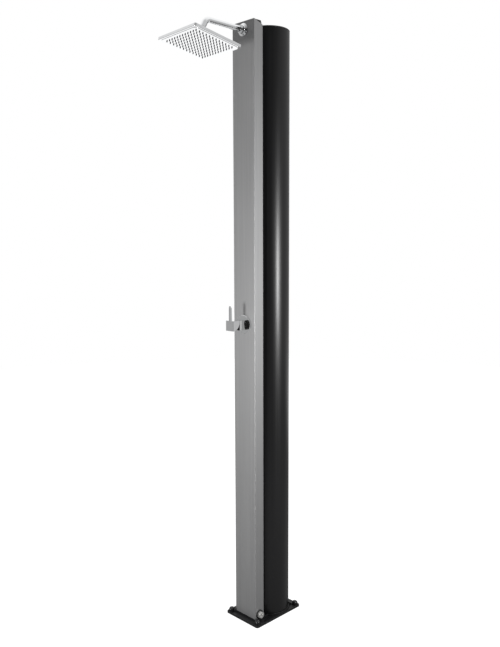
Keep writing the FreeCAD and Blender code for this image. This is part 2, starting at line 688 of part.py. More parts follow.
def inlet_fitting():
    """Hexagonal nipple through the panel's right side, with a plain threaded tail."""
    seat = PANEL_HALF + INLET_SEAL_THICK
    mouth = seat + INLET_HEX_LONG
    head = hexagon(INLET_HEX_FLATS, (seat, PIPE_Y, INLET_Z), (mouth, PIPE_Y, INLET_Z))
    rounding = cone(INLET_HEX_FLATS / 2 + INLET_HEX_LONG, INLET_HEX_FLATS / 2, (seat, PIPE_Y, INLET_Z),
                    (mouth, PIPE_Y, INLET_Z))
    tail = rod(INLET_TAIL_R, (TEE_RIGHT - PIPE_SOCKET, PIPE_Y, INLET_Z), (seat, PIPE_Y, INLET_Z))
    port = rod(INLET_BORE_R, (mouth - INLET_BORE_LONG, PIPE_Y, INLET_Z), (mouth + 1, PIPE_Y, INLET_Z))
    way = rod(UNION_BORE_R, (0, PIPE_Y, INLET_Z), (mouth, PIPE_Y, INLET_Z))
    return join(head.common(rounding), tail).cut([port, way])


def inlet_seal():
    return tube(INLET_SEAL_R, INLET_TAIL_R + SLIP, (PANEL_HALF, PIPE_Y, INLET_Z),
                (PANEL_HALF + INLET_SEAL_THICK, PIPE_Y, INLET_Z))


def inlet_nut():
    seat = PANEL_HALF - SHEET - FOOT_THICK
    far = seat - INLET_NUT_THICK
    nut = hexagon(INLET_NUT_FLATS, (far, PIPE_Y, INLET_Z), (seat, PIPE_Y, INLET_Z), 30)
    return nut.cut(rod(INLET_TAIL_R + RUN, (far - 1, PIPE_Y, INLET_Z), (seat + 1, PIPE_Y, INLET_Z)))


def tank_nipple(z):
    """Tail of a fitting that passes through the cover into the tank."""
    reach = UNION_NUT_FLATS / math.sqrt(3)
    end = tank_wall(TANK_INNER_R, reach) + SLIP + UNION_NUT_THICK + UNION_PAST_NUT
    return rod(UNION_R, (0, COVER_FRONT, z), (0, end, z)), rod(UNION_BORE_R, (0, PIPE_Y, z), (0, end + 1, z))


def pipe_port(x, mouth_z, deep_z):
    """Socket for a pipe end, and the narrower way beyond it."""
    into = math.copysign(PIPE_SOCKET, deep_z - mouth_z)
    socket = rod(PIPE_R + RUN, (x, PIPE_Y, mouth_z - into / 10), (x, PIPE_Y, mouth_z + into))
    return [socket, rod(GALLERY_R, (x, PIPE_Y, mouth_z), (x, PIPE_Y, deep_z))]


def inlet_tee():
    """Upright manifold at the foot: inlet at the right, tank behind, mixer pipe on top."""
    left = -FITTING_HALF
    solid = block(left, TEE_RIGHT, PIPE_Y - FITTING_HALF, COVER_FRONT, INLET_Z - FITTING_HALF, TEE_TOP)
    nipple, nipple_way = tank_nipple(FEED_Z)
    corner = block(left - 1, PIPE_X - FITTING_HALF, PIPE_Y - FITTING_HALF - 1, COVER_FRONT + 1,
                   INLET_Z - FITTING_HALF - 1, FEED_Z - FITTING_HALF)
    cuts = [corner, nipple_way,
            rod(GALLERY_R, (0, PIPE_Y, FEED_Z), (PIPE_X, PIPE_Y, FEED_Z)),
            rod(INLET_TAIL_R + RUN, (TEE_RIGHT - PIPE_SOCKET - SLIP, PIPE_Y, INLET_Z),
                (TEE_RIGHT + 1, PIPE_Y, INLET_Z)),
            rod(VALVE_R + SLIP, (PIPE_X, PIPE_Y, INLET_Z + GALLERY_R), (PIPE_X, PIPE_Y, VALVE_TOP))]
    return join(solid, nipple).cut(cuts + pipe_port(PIPE_X, TEE_TOP, INLET_Z))


def check_valve():
    """Non-return cartridge in the tee, with its poppet's guide hole."""
    top = VALVE_TOP - SLIP
    return tube(VALVE_R, GALLERY_R, (PIPE_X, PIPE_Y, top - VALVE_LONG), (PIPE_X, PIPE_Y, top))


save("inlet_fitting", inlet_fitting())
save("inlet_seal", inlet_seal())
save("inlet_nut", inlet_nut())
save("inlet_tee", inlet_tee())
save("check_valve", check_valve())


# ---- pipes and the fittings they run between -------------------------------

def pipe_run(x, low, high):
    """Straight pipe whose ends stand in sockets past the two given faces."""
    stand = PIPE_SOCKET - SLIP
    return tube(PIPE_R, PIPE_R - PIPE_WALL, (x, PIPE_Y, low - stand), (x, PIPE_Y, high + stand))


def pipe_nut(x, face_z, side):
    """Gland nut on a port's mouth; side is +1 above the face and -1 below it."""
    far = face_z + side * PIPE_NUT_HIGH
    nut = hexagon(PIPE_NUT_FLATS, (x, PIPE_Y, face_z), (x, PIPE_Y, far))
    return nut.cut(rod(PIPE_R + RUN, (x, PIPE_Y, face_z - side), (x, PIPE_Y, far + side)))


def pipe_clip(x, z):
    """Saddle clip that holds one pipe off the rear cover."""
    half = PIPE_R + CLIP_WALL
    solid = block(x - half, x + half, PIPE_Y, COVER_FRONT, z, z + CLIP_HIGH)
    solid = join(solid, rod(half, (x, PIPE_Y, z), (x, PIPE_Y, z + CLIP_HIGH)))
    return solid.cut(rod(PIPE_R + RUN, (x, PIPE_Y, z - 1), (x, PIPE_Y, z + CLIP_HIGH + 1)))


def hot_elbow():
    """Fitting at the tank's hot outlet, turning the water down the hot pipe."""
    low, high = HOT_OUTLET_Z - FITTING_HALF, HOT_OUTLET_Z + FITTING_HALF
    solid = block(-PIPE_X - FITTING_HALF, FITTING_HALF, PIPE_Y - FITTING_HALF, COVER_FRONT, low, high)
    nipple, nipple_way = tank_nipple(HOT_OUTLET_Z)
    way = rod(GALLERY_R, (0, PIPE_Y, HOT_OUTLET_Z), (-PIPE_X, PIPE_Y, HOT_OUTLET_Z))
    return join(solid, nipple).cut([nipple_way, way] + pipe_port(-PIPE_X, low, HOT_OUTLET_Z))


def mixer_manifold():
    """Brass block behind the mixer: cold from below, hot from above, mixed water out."""
    front = MANIFOLD_FRONT
    solid = block(-MANIFOLD_HALF, MANIFOLD_HALF, front, MANIFOLD_BACK, MANIFOLD_LOW, MANIFOLD_TOP)
    hot_cold_z = MIXER_Z - WATERWAY_OFF / 2
    out_z = MIXER_Z + WATERWAY_OFF
    cuts = [rod(SPIGOT_R + RUN, (0, front - 1, MIXER_Z), (0, front + SPIGOT_LONG + SLIP, MIXER_Z))]
    for x in (-WATERWAY_OFF, WATERWAY_OFF):
        cuts.append(rod(WATERWAY_R, (x, front, hot_cold_z), (x, PIPE_Y, hot_cold_z)))
        cuts.append(rod(WATERWAY_R, (x, PIPE_Y, hot_cold_z), (math.copysign(PIPE_X, x), PIPE_Y, hot_cold_z)))
    cuts.append(rod(WATERWAY_R, (0, front, out_z), (0, PIPE_Y, out_z)))
    cuts.append(rod(WATERWAY_R, (0, PIPE_Y, out_z), (PIPE_X, PIPE_Y, out_z)))
    cuts += pipe_port(PIPE_X, MANIFOLD_LOW, hot_cold_z)
    cuts += pipe_port(-PIPE_X, MANIFOLD_TOP, hot_cold_z)
    cuts += pipe_port(PIPE_X, MANIFOLD_TOP, out_z)
    return solid.cut(cuts)


def arm_elbow():
    """Block behind the panel's top that the arm screws into."""
    right, top = PIPE_X + FITTING_HALF, ARM_Z + ARM_ELBOW_HALF
    solid = block(-ARM_ELBOW_HALF, right, ARM_ELBOW_FRONT, ARM_ELBOW_BACK, ARM_ELBOW_LOW, top)
    cuts = [rod(ARM_R + RUN, (0, ARM_ELBOW_FRONT - 1, ARM_Z), (0, PANEL_FRONT + ARM_TAIL + SLIP, ARM_Z)),
            rod(UNION_BORE_R, (0, PIPE_Y - GALLERY_R, ARM_Z), (0, ARM_GALLERY_Y + GALLERY_R, ARM_Z)),
            rod(GALLERY_R, (0, ARM_GALLERY_Y, ARM_Z), (PIPE_X, ARM_GALLERY_Y, ARM_Z))]
    return solid.cut(cuts + pipe_port(PIPE_X, ARM_ELBOW_LOW, ARM_Z))


save("cold_pipe", pipe_run(PIPE_X, TEE_TOP, MANIFOLD_LOW))
save("hot_pipe", pipe_run(-PIPE_X, MANIFOLD_TOP, HOT_OUTLET_Z - FITTING_HALF))
save("mixed_pipe", pipe_run(PIPE_X, MANIFOLD_TOP, ARM_ELBOW_LOW))
save("pipe_nuts",
     pipe_nut(PIPE_X, TEE_TOP, 1), pipe_nut(PIPE_X, MANIFOLD_LOW, -1),
     pipe_nut(-PIPE_X, MANIFOLD_TOP, 1), pipe_nut(-PIPE_X, HOT_OUTLET_Z - FITTING_HALF, -1),
     pipe_nut(PIPE_X, MANIFOLD_TOP, 1), pipe_nut(PIPE_X, ARM_ELBOW_LOW, -1))
save("pipe_clips", pipe_clip(PIPE_X, CLIP_LOW_Z), pipe_clip(PIPE_X, CLIP_HIGH_Z),
     pipe_clip(-PIPE_X, CLIP_HIGH_Z))
save("hot_elbow", hot_elbow())
save("mixer_manifold", mixer_manifold())
save("arm_elbow", arm_elbow())


# ---- mixer, measured outwards from the panel's front face -------------------

def out(distance, x=0.0, z=0.0):
    """Point at one distance in front of the panel, on the mixer's axis or beside it."""
    return (x, PANEL_FRONT - distance, MIXER_Z + z)


def mixer_block(wide, low, high, near, far):
    """Box on the mixer's axis between two distances from the panel."""
    return block(-wide / 2, wide / 2, PANEL_FRONT - far, PANEL_FRONT - near, MIXER_Z + low, MIXER_Z + high)


def mixer_rose():
    rose = rod(ROSE_R, out(0), out(ROSE_THICK))
    rose = round_edges(rose, ROSE_ROUND, lambda e: abs(e.BoundBox.YMin - (PANEL_FRONT - ROSE_THICK)) < 1e-3
                       and e.BoundBox.YLength < 1e-3)
    recess = tube(ROSE_SEAL_R, ROSE_SEAL_BORE_R, out(-1), out(ROSE_SEAL_THICK))
    return rose.cut([rod(MIXER_TAIL_R + SLIP, out(-1), out(ROSE_THICK + 1)), recess])


def rose_seal():
    return tube(ROSE_SEAL_R - SLIP, ROSE_SEAL_BORE_R + SLIP, out(0), out(ROSE_SEAL_THICK))


def mixer_body():
    """Square body in front of the panel, with a round tail through it."""
    half_high = MIXER_HIGH / 2
    body = mixer_block(MIXER_WIDE, -half_high, half_high, ROSE_THICK, MIXER_OUT)
    body = round_edges(body, MIXER_EDGE, lambda e: abs(e.tangentAt(e.FirstParameter).y) > 0.9)
    tail_end = PANEL_FRONT - MANIFOLD_FRONT
    tail = rod(MIXER_TAIL_R, out(tail_end), out(ROSE_THICK))
    spigot = rod(SPIGOT_R, out(tail_end - SPIGOT_LONG), out(tail_end))
    cuts = [rod(CARTRIDGE_R + RUN, out(CARTRIDGE_BACK), out(MIXER_OUT + 1)),
            rod(CARTRIDGE_NUT_R + RUN, out(CARTRIDGE_FRONT), out(MIXER_OUT + 1))]
    end = tail_end - SPIGOT_LONG - 1
    for x, z in cartridge_ways():
        cuts.append(rod(WATERWAY_R, out(end, x, z), out(CARTRIDGE_BACK + 1, x, z)))
    return join(body, tail, spigot).cut(cuts)


def cartridge_ways():
    """Hot, cold and mixed waterways, beside the mixer's axis."""
    return [(-WATERWAY_OFF, -WATERWAY_OFF / 2), (WATERWAY_OFF, -WATERWAY_OFF / 2), (0, WATERWAY_OFF)]


def mixer_nut():
    seat = -SHEET
    nut = hexagon(MIXER_NUT_FLATS, out(seat), out(seat - MIXER_NUT_THICK))
    return nut.cut(rod(MIXER_TAIL_R + RUN, out(seat + 1), out(seat - MIXER_NUT_THICK - 1)))


def cartridge_housing():
    shell = rod(CARTRIDGE_R, out(CARTRIDGE_BACK), out(CARTRIDGE_FRONT))
    room = rod(CARTRIDGE_ROOM_R, out(CARTRIDGE_BACK + DISC_THICK), out(CARTRIDGE_FRONT + 1))
    ways = [rod(WATERWAY_R, out(CARTRIDGE_BACK - 1, x, z), out(CARTRIDGE_BACK + DISC_THICK + 1, x, z))
            for x, z in cartridge_ways()]
    return shell.cut([room] + ways)


def fixed_disc():
    back = CARTRIDGE_BACK + DISC_THICK
    disc = rod(CARTRIDGE_ROOM_R - RUN, out(back), out(back + DISC_THICK))
    return disc.cut([rod(WATERWAY_R, out(back - 1, x, z), out(back + DISC_THICK + 1, x, z))
                     for x, z in cartridge_ways()])


def moving_disc():
    """Disc that slides over the fixed one, with a pocket for the stem's ball."""
    disc = rod(MOVING_DISC_R, out(MOVING_DISC_BACK), out(MOVING_DISC_FRONT))
    half = STEM_BALL_R + 2 * RUN
    pocket = mixer_block(2 * half, -half, half, BALL_OUT - STEM_BALL_R - SLIP, MOVING_DISC_FRONT + 1)
    return disc.cut(pocket)


def cartridge_rotor():
    """Carrier that turns for temperature and holds the stem's pivot pin."""
    barrel = rod(CARTRIDGE_ROOM_R - RUN, out(ROTOR_BACK), out(CARTRIDGE_FRONT - SLIP))
    neck = rod(NUT_OPENING_R - RUN, out(ROTOR_BACK), out(MIXER_OUT + NUT_DOME_HIGH / 2))
    width = STEM_WIDE + 2 * RUN
    slot = mixer_block(width, -STEM_SLOT_DOWN, STEM_SLOT_UP, ROTOR_BACK - 1, MIXER_OUT + NUT_DOME_HIGH)
    front_slot = mixer_block(width, -CARTRIDGE_R, 0, CARTRIDGE_FRONT - SLIP, MIXER_OUT + NUT_DOME_HIGH)
    pin_hole = rod(PIVOT_PIN_R + RUN, out(STEM_PIVOT, -CARTRIDGE_R), out(STEM_PIVOT, CARTRIDGE_R))
    return join(barrel, neck).cut([slot, front_slot, pin_hole])


def pivot_pin():
    return rod(PIVOT_PIN_R, out(STEM_PIVOT, -PIVOT_PIN_HALF), out(STEM_PIVOT, PIVOT_PIN_HALF))


def cartridge_nut():
    """Ring that holds the cartridge in, with a low dome that shows under the handle."""
    ring_part = rod(CARTRIDGE_NUT_R, out(CARTRIDGE_FRONT), out(MIXER_OUT))
    dome = cone(NUT_DOME_R, NUT_DOME_TOP_R, out(MIXER_OUT), out(MIXER_OUT + NUT_DOME_HIGH))
    opening = rod(NUT_OPENING_R, out(CARTRIDGE_FRONT - 1), out(MIXER_OUT + NUT_DOME_HIGH + 1))
    return join(ring_part, dome).cut(opening)


def mixer_stem():
    """Square stem that tips on the pivot pin, with a ball at its inner end."""
    half = STEM_WIDE / 2
    bar = mixer_block(STEM_WIDE, -half, half, STEM_PIVOT - half, STEM_PIVOT + STEM_LONG)
    finger = rod(STEM_BALL_R / 2, out(BALL_OUT), out(STEM_PIVOT))
    ball = Part.makeSphere(STEM_BALL_R, V(*out(BALL_OUT)))
    pin_hole = rod(PIVOT_PIN_R + RUN, out(STEM_PIVOT, -STEM_WIDE), out(STEM_PIVOT, STEM_WIDE))
    return join(bar, finger, ball).cut(pin_hole)


def handle_block():
    """Square handle with a quarter-round underside, hollow behind for the nut's dome."""
    near, far = HANDLE_BACK, HANDLE_BACK + HANDLE_DEEP
    half_high = HANDLE_HIGH / 2
    round_z = MIXER_Z - half_high + HANDLE_ROUND
    round_y = PANEL_FRONT - near - HANDLE_ROUND
    solid = mixer_block(HANDLE_WIDE, -half_high, half_high, near, far)
    barrel = rod(HANDLE_ROUND, (-HANDLE_WIDE, round_y, round_z), (HANDLE_WIDE, round_y, round_z))
    above = mixer_block(2 * HANDLE_WIDE, round_z - MIXER_Z, half_high, near, far)
    solid = solid.common(barrel.fuse(above)).removeSplitter()
    socket_half = STEM_WIDE / 2 + RUN
    stud_bottom = half_high - LEVER_STUD_LONG - SLIP
    cuts = [rod(HANDLE_RECESS_R, out(near - 1), out(near + HANDLE_RECESS_DEEP)),
            mixer_block(2 * socket_half, -socket_half, socket_half, near, STEM_PIVOT + STEM_LONG + SLIP),
            rod(GRUB_R + RUN, out(GRUB_OUT, 0, -half_high - 1), out(GRUB_OUT)),
            rod(LEVER_STUD_R + RUN, out(LEVER_OUT, 0, stud_bottom), out(LEVER_OUT, 0, half_high + 1))]
    return solid.cut(cuts)


def handle_grub_screw():
    top = -STEM_WIDE / 2 - RUN
    return rod(GRUB_R, out(GRUB_OUT, 0, top - GRUB_LONG), out(GRUB_OUT, 0, top))


def lever():
    """Square bar that narrows to a blunt tip with its front face kept upright."""
    low = MIXER_Z + HANDLE_HIGH / 2
    front = PANEL_FRONT - HANDLE_BACK - HANDLE_DEEP

    def square(side, z):
        corners = [V(-side / 2, front, z), V(side / 2, front, z),
                   V(side / 2, front + side, z), V(-side / 2, front + side, z)]
        return Part.makePolygon(corners + corners[:1])

    tip = low + LEVER_LONG
    squares = [square(LEVER_BASE, low), square(LEVER_TOP, tip - LEVER_TIP_LONG), square(LEVER_TIP, tip)]
    bar = Part.makeLoft(squares, True, True)
    top = HANDLE_HIGH / 2
    return join(bar, rod(LEVER_STUD_R, out(LEVER_OUT, 0, top - LEVER_STUD_LONG), out(LEVER_OUT, 0, top + 1)))


save("mixer_rose", mixer_rose())
save("rose_seal", rose_seal())
save("mixer_body", mixer_body())
save("mixer_nut", mixer_nut())
save("cartridge_housing", cartridge_housing())
save("fixed_disc", fixed_disc())
save("moving_disc", moving_disc())
save("cartridge_rotor", cartridge_rotor())
save("pivot_pin", pivot_pin())
save("cartridge_nut", cartridge_nut())
save("mixer_stem", mixer_stem())
save("handle_block", handle_block())
save("handle_grub_screw", handle_grub_screw())
save("lever", lever())


# ---- arm ----------------------------------------------------------------

def above_ball(distance):
    """Point on the arm's slanting end, at a distance from the ball's centre."""
    return (0, BALL_Y + distance * math.sin(ARM_SLANT), BALL_Z + distance * math.cos(ARM_SLANT))


def swept_arm(radius):
    """Round bar along the arm's line: out from the panel, then slanting down to the ball."""
    tail = PANEL_FRONT + ARM_TAIL
    level = rod(radius, (0, tail, ARM_Z), (0, ARM_FRONT_Y, ARM_Z))
    slant = rod(radius, above_ball(BALL_TO_ARM), above_ball(BALL_TO_BEND))
    section = Part.Face(Part.Wire(Part.makeCircle(radius, V(0, ARM_FRONT_Y, ARM_Z), Y_AXIS)))
    bend = section.revolve(V(0, ARM_FRONT_Y, ARM_Z - ARM_BEND_R), X_AXIS, ARM_TURN)
    return join(level, bend, slant)


def arm_tube():
    return swept_arm(ARM_R).cut(swept_arm(ARM_BORE_R))


def arm_flange():
    """Cover ring on the panel with a collar round the arm."""
    y = PANEL_FRONT
    disc = rod(FLANGE_R, (0, y, ARM_Z), (0, y - FLANGE_THICK, ARM_Z))
    disc = round_edges(disc, FLANGE_ROUND, lambda e: e.BoundBox.YMax < y - FLANGE_THICK + 1e-3)
    collar = rod(FLANGE_HUB_R, (0, y, ARM_Z), (0, y - FLANGE_HUB_LONG, ARM_Z))
    collar = round_edges(collar, FLANGE_HUB_ROUND, lambda e: e.BoundBox.YMax < y - FLANGE_HUB_LONG + 1e-3)
    recess = tube(FLANGE_SEAL_R, FLANGE_SEAL_BORE_R, (0, y + 1, ARM_Z), (0, y - ROSE_SEAL_THICK, ARM_Z))
    bore = rod(ARM_R + RUN, (0, y + 1, ARM_Z), (0, y - FLANGE_HUB_LONG - 1, ARM_Z))
    return join(disc, collar).cut([bore, recess])


def flange_seal():
    return tube(FLANGE_SEAL_R - SLIP, FLANGE_SEAL_BORE_R + SLIP, (0, PANEL_FRONT, ARM_Z),
                (0, PANEL_FRONT - ROSE_SEAL_THICK, ARM_Z))


def arm_nut():
    nut = hexagon(ARM_NUT_FLATS, (0, PANEL_INNER, ARM_Z), (0, PANEL_INNER + ARM_NUT_THICK, ARM_Z))
    return nut.cut(rod(ARM_R + RUN, (0, PANEL_INNER - 1, ARM_Z), (0, ARM_ELBOW_FRONT + 1, ARM_Z)))


save("arm_tube", arm_tube())
save("arm_flange", arm_flange())
save("flange_seal", flange_seal())
save("arm_nut", arm_nut())


# ---- shower head, modelled level about its ball's centre, then tipped --------

def place_head(shape):
    """Tip a piece of the head as it hangs and carry it to the ball's centre."""
    shape = shape.copy()
    shape.rotate(V(0, 0, 0), Y_AXIS, -HEAD_LEAN)
    shape.rotate(V(0, 0, 0), X_AXIS, -HEAD_TILT)
    shape.rotate(V(0, 0, 0), Z_AXIS, -HEAD_SPIN)
    shape.translate(V(0, BALL_Y, BALL_Z))
    return shape


def head_rod(radius, low, high):
    return rod(radius, (0, 0, low), (0, 0, high))


def square_plate(side, corner, low, high):
    return slab(side, side, corner, low, high)


def nozzle_places():
    start = -NOZZLE_PITCH * (NOZZLES_A_SIDE - 1) / 2
    steps = [start + NOZZLE_PITCH * n for n in range(NOZZLES_A_SIDE)]
    return [(x, y) for x in steps for y in steps]


def ball_stud():
    """Hollow stud that turns in the arm's end and carries the ball, in line with the arm's end."""
    top = BALL_TO_ARM + STUD_IN_ARM
    ball = Part.makeSphere(BALL_R, V(*above_ball(0)))
    neck = rod(NECK_R, above_ball(0), above_ball(BALL_TO_ARM))
    collar = rod(COLLAR_R, above_ball(BALL_TO_ARM - COLLAR_THICK), above_ball(BALL_TO_ARM))
    plug = rod(ARM_BORE_R - RUN, above_ball(BALL_TO_ARM), above_ball(top))
    bore = rod(BALL_BORE_R, above_ball(-BALL_R - 1), above_ball(top + 1))
    return join(ball, neck, collar, plug).cut(bore)


def ball_seat():
    """Slippery cup under the ball, itself round outside so that the head rolls on it."""
    inner, outer = BALL_R + BALL_GAP, BALL_R + BALL_GAP + SEAT_THICK
    cup = Part.makeSphere(outer).cut(Part.makeSphere(inner))
    return cup.common(head_rod(outer + 1, -SEAT_BELOW - SEAT_HIGH, -SEAT_BELOW))


def head_nut():
    """Ring nut that keeps the ball in its cup."""
    nut = head_rod(NUT_R, -NUT_BELOW, NUT_ABOVE)
    nut = round_edges(nut, NUT_ROUND, lambda e: e.BoundBox.ZLength < 1e-3)
    thread = head_rod(HUB_R + RUN, -NUT_BELOW - 1, HUB_ROOM)
    return nut.cut([thread, Part.makeSphere(BALL_R + BALL_GAP), head_rod(NECK_R, 0, NUT_ABOVE + 1)])


def head_shell():
    """Flat square case, open below, with the hub that the ring nut screws on."""
    top = square_plate(HEAD_SIDE, HEAD_CORNER, RIM_LOW, RIM_TOP)
    top = round_edges(top, HEAD_EDGE, level_at(RIM_TOP))
    foot = cone(HUB_FOOT_R, HUB_R, (0, 0, RIM_TOP - 1), (0, 0, RIM_TOP + HUB_FOOT_HIGH))
    hub = head_rod(HUB_R, RIM_TOP - 1, 0)
    opening = HEAD_SIDE - 2 * (FACE_MARGIN + LIP_BEHIND)
    room = HEAD_SIDE - 2 * HEAD_WALL
    cuts = [square_plate(opening, FACE_CORNER - LIP_BEHIND, RIM_LOW - 1, RIM_LOW + LIP_THICK + 1),
            square_plate(room, HEAD_CORNER - HEAD_WALL, RIM_LOW + LIP_THICK, RIM_TOP - HEAD_WALL),
            square_plate(FACE_SIDE + 2 * SLIP, FACE_CORNER + SLIP, RIM_LOW - 1, -HEAD_DROP + FACE_THICK),
            Part.makeSphere(CAVITY_R),
            head_rod(FLOW_WASHER_R, FLOW_WASHER_LOW, 0),
            head_rod(WATER_BORE_R, RIM_TOP - HEAD_WALL - 1, 0)]
    return join(top, foot, hub).cut(cuts)


def face_plate():
    plate = square_plate(FACE_SIDE, FACE_CORNER, -HEAD_DROP, -HEAD_DROP + FACE_THICK)
    holes = [rod(NOZZLE_R + RUN, (x, y, -HEAD_DROP - 1), (x, y, -HEAD_DROP + FACE_THICK + 1))
             for x, y in nozzle_places()]
    return plate.cut(Part.makeCompound(holes))


def nozzle_mat():
    """Rubber sheet behind the face with one nozzle through each hole."""
    back = -HEAD_DROP + FACE_THICK
    side = HEAD_SIDE - 2 * (FACE_MARGIN + LIP_BEHIND) - 2 * SLIP
    tips = [cone(NOZZLE_R, NOZZLE_TIP_R, (x, y, back + MAT_THICK / 2), (x, y, -HEAD_DROP - NOZZLE_PROUD))
            for x, y in nozzle_places()]
    bores = [rod(NOZZLE_BORE_R, (x, y, -HEAD_DROP - NOZZLE_PROUD - 1), (x, y, back + MAT_THICK + 1))
             for x, y in nozzle_places()]
    sheet = square_plate(side, FACE_CORNER - LIP_BEHIND, back, back + MAT_THICK)
    return join(sheet, *tips).cut(Part.makeCompound(bores))


def flow_washer():
    washer = head_rod(FLOW_WASHER_R - RUN, FLOW_WASHER_LOW, FLOW_WASHER_LOW + FLOW_WASHER_THICK)
    return washer.cut(head_rod(BALL_BORE_R, FLOW_WASHER_LOW - 1, 0))


save("ball_stud", ball_stud())
save("ball_seat", place_head(ball_seat()))
save("head_nut", place_head(head_nut()))
save("head_shell", place_head(head_shell()))
save("face_plate", place_head(face_plate()))
save("nozzle_mat", place_head(nozzle_mat()))
save("flow_washer", place_head(flow_washer()))
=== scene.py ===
"""Looks of the outdoor solar shower post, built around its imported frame.

Metres, +Z up. The post's front faces -Y, and it stands on the floor at Z = 0.
"""
import json
import math

import bmesh
import bpy
import numpy as np
from mathutils import Matrix, Vector


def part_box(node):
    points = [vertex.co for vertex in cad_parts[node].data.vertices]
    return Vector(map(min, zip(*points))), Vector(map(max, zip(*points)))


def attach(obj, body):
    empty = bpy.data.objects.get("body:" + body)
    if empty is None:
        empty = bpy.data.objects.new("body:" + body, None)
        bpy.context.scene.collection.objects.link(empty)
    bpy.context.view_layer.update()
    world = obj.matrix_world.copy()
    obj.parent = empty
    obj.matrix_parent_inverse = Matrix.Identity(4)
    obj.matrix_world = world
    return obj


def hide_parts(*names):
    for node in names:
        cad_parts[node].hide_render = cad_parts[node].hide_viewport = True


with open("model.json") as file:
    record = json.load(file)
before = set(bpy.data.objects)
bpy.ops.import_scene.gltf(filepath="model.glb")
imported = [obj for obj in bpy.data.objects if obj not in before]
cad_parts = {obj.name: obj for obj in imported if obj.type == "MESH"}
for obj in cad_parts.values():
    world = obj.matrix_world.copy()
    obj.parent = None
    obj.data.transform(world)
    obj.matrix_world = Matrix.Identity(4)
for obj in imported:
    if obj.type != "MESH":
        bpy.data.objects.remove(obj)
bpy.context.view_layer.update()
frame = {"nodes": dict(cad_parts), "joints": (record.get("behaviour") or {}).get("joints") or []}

# ---- Camera and studio --------------------------------------------------------
# A plain white studio. The camera stands right of the post at chest height, and one soft
# lamp hangs before the post and one at its right. The room is dim where the camera stands,
# with a pale wall, a white ceiling and a white sheet behind the post.
CAMERA_PLACE = Vector((1.85522, -1.88961, 1.43891))
CAMERA_YAW = 0.79483
CAMERA_PITCH = 0.11545
CAMERA_ROLL = -0.00378
LENS_MM = 39.494
FILM_MM = 36
# The pale wall starts and is whole at these cosines of the angle off its middle.
WALL_AZIMUTH = math.radians(125)
WALL_EDGE, WALL_FULL = -0.7, 0.15
ROOM_DIM, ROOM_PALE = 0.015, 0.5
# The ceiling starts and is whole at these sines of the height, and the sheet at these
# cosines of the angle off its middle. Either adds this much white to the wall.
CEILING_FROM, CEILING_FULL = 0.12, 0.75
SHEET_AZIMUTH = math.radians(134.5)
SHEET_FROM, SHEET_FULL = 0.84, 0.95
WHITE_MORE = 0.5
# Each lamp has its azimuth in degrees, distance and height in metres, and power in watts.
LAMP_WIDE, LAMP_HIGH = 0.4, 0.5
LAMPS = {"lamp_side": (9.0, 2.2, 1.22, 40.0), "lamp_front": (-90.0, 2.2, 0.98, 47.0)}
FLOOR_R = 6.0
FLOOR_SIDES = 64
FLOOR_DROP = 0.0005
# Reflections find white paper on the floor between these metres behind the post.
PAPER_FROM, PAPER_FULL = 1.6, 3.3
PAPER_GLOW = 0.9


def linear(colour):
    """Linear colour, with alpha, from sRGB written as six hex digits.

    A value up to 0.04045 is divided by 12.92. Above that it becomes
    (value + 0.055) / 1.055, to the power of 2.4.
    """
    srgb = np.array([int(colour[i:i + 2], 16) for i in (0, 2, 4)]) / 255
    low, high = srgb / 12.92, ((srgb + 0.055) / 1.055) ** 2.4
    return (*np.where(srgb <= 0.04045, low, high), 1.0)


def add(tree, kind, inputs=None, **settings):
    """Add one shader node; inputs holds numbers, colours or other nodes' outputs."""
    node = tree.nodes.new("ShaderNode" + kind)
    for key, value in settings.items():
        setattr(node, key, value)
    for key, value in (inputs or {}).items():
        if isinstance(value, bpy.types.NodeSocket):
            tree.links.new(value, node.inputs[key])
        else:
            node.inputs[key].default_value = value
    return node


def aim_camera():
    """Camera whose axes are the yaw, pitch and roll of the photograph's view.

    Forward is (-sin yaw * cos pitch, cos yaw * cos pitch, -sin pitch). The roll turns
    right and up about it: right * cos + up * sin, and up * cos - right * sin.
    """
    forward = Vector((-math.sin(CAMERA_YAW) * math.cos(CAMERA_PITCH),
                      math.cos(CAMERA_YAW) * math.cos(CAMERA_PITCH), -math.sin(CAMERA_PITCH)))
    right = Vector((math.cos(CAMERA_YAW), math.sin(CAMERA_YAW), 0))
    up = right.cross(forward)
    turned_right = right * math.cos(CAMERA_ROLL) + up * math.sin(CAMERA_ROLL)
    turned_up = up * math.cos(CAMERA_ROLL) - right * math.sin(CAMERA_ROLL)
    data = bpy.data.cameras.new("camera")
    data.lens = LENS_MM
    data.sensor_width = FILM_MM
    data.clip_start = 0.05
    data.clip_end = 100
    camera = bpy.data.objects.new("camera", data)
    axes = Matrix((turned_right, turned_up, -forward)).transposed().to_4x4()
    camera.matrix_world = Matrix.Translation(CAMERA_PLACE) @ axes
    bpy.context.scene.collection.objects.link(camera)
    bpy.context.scene.camera = camera


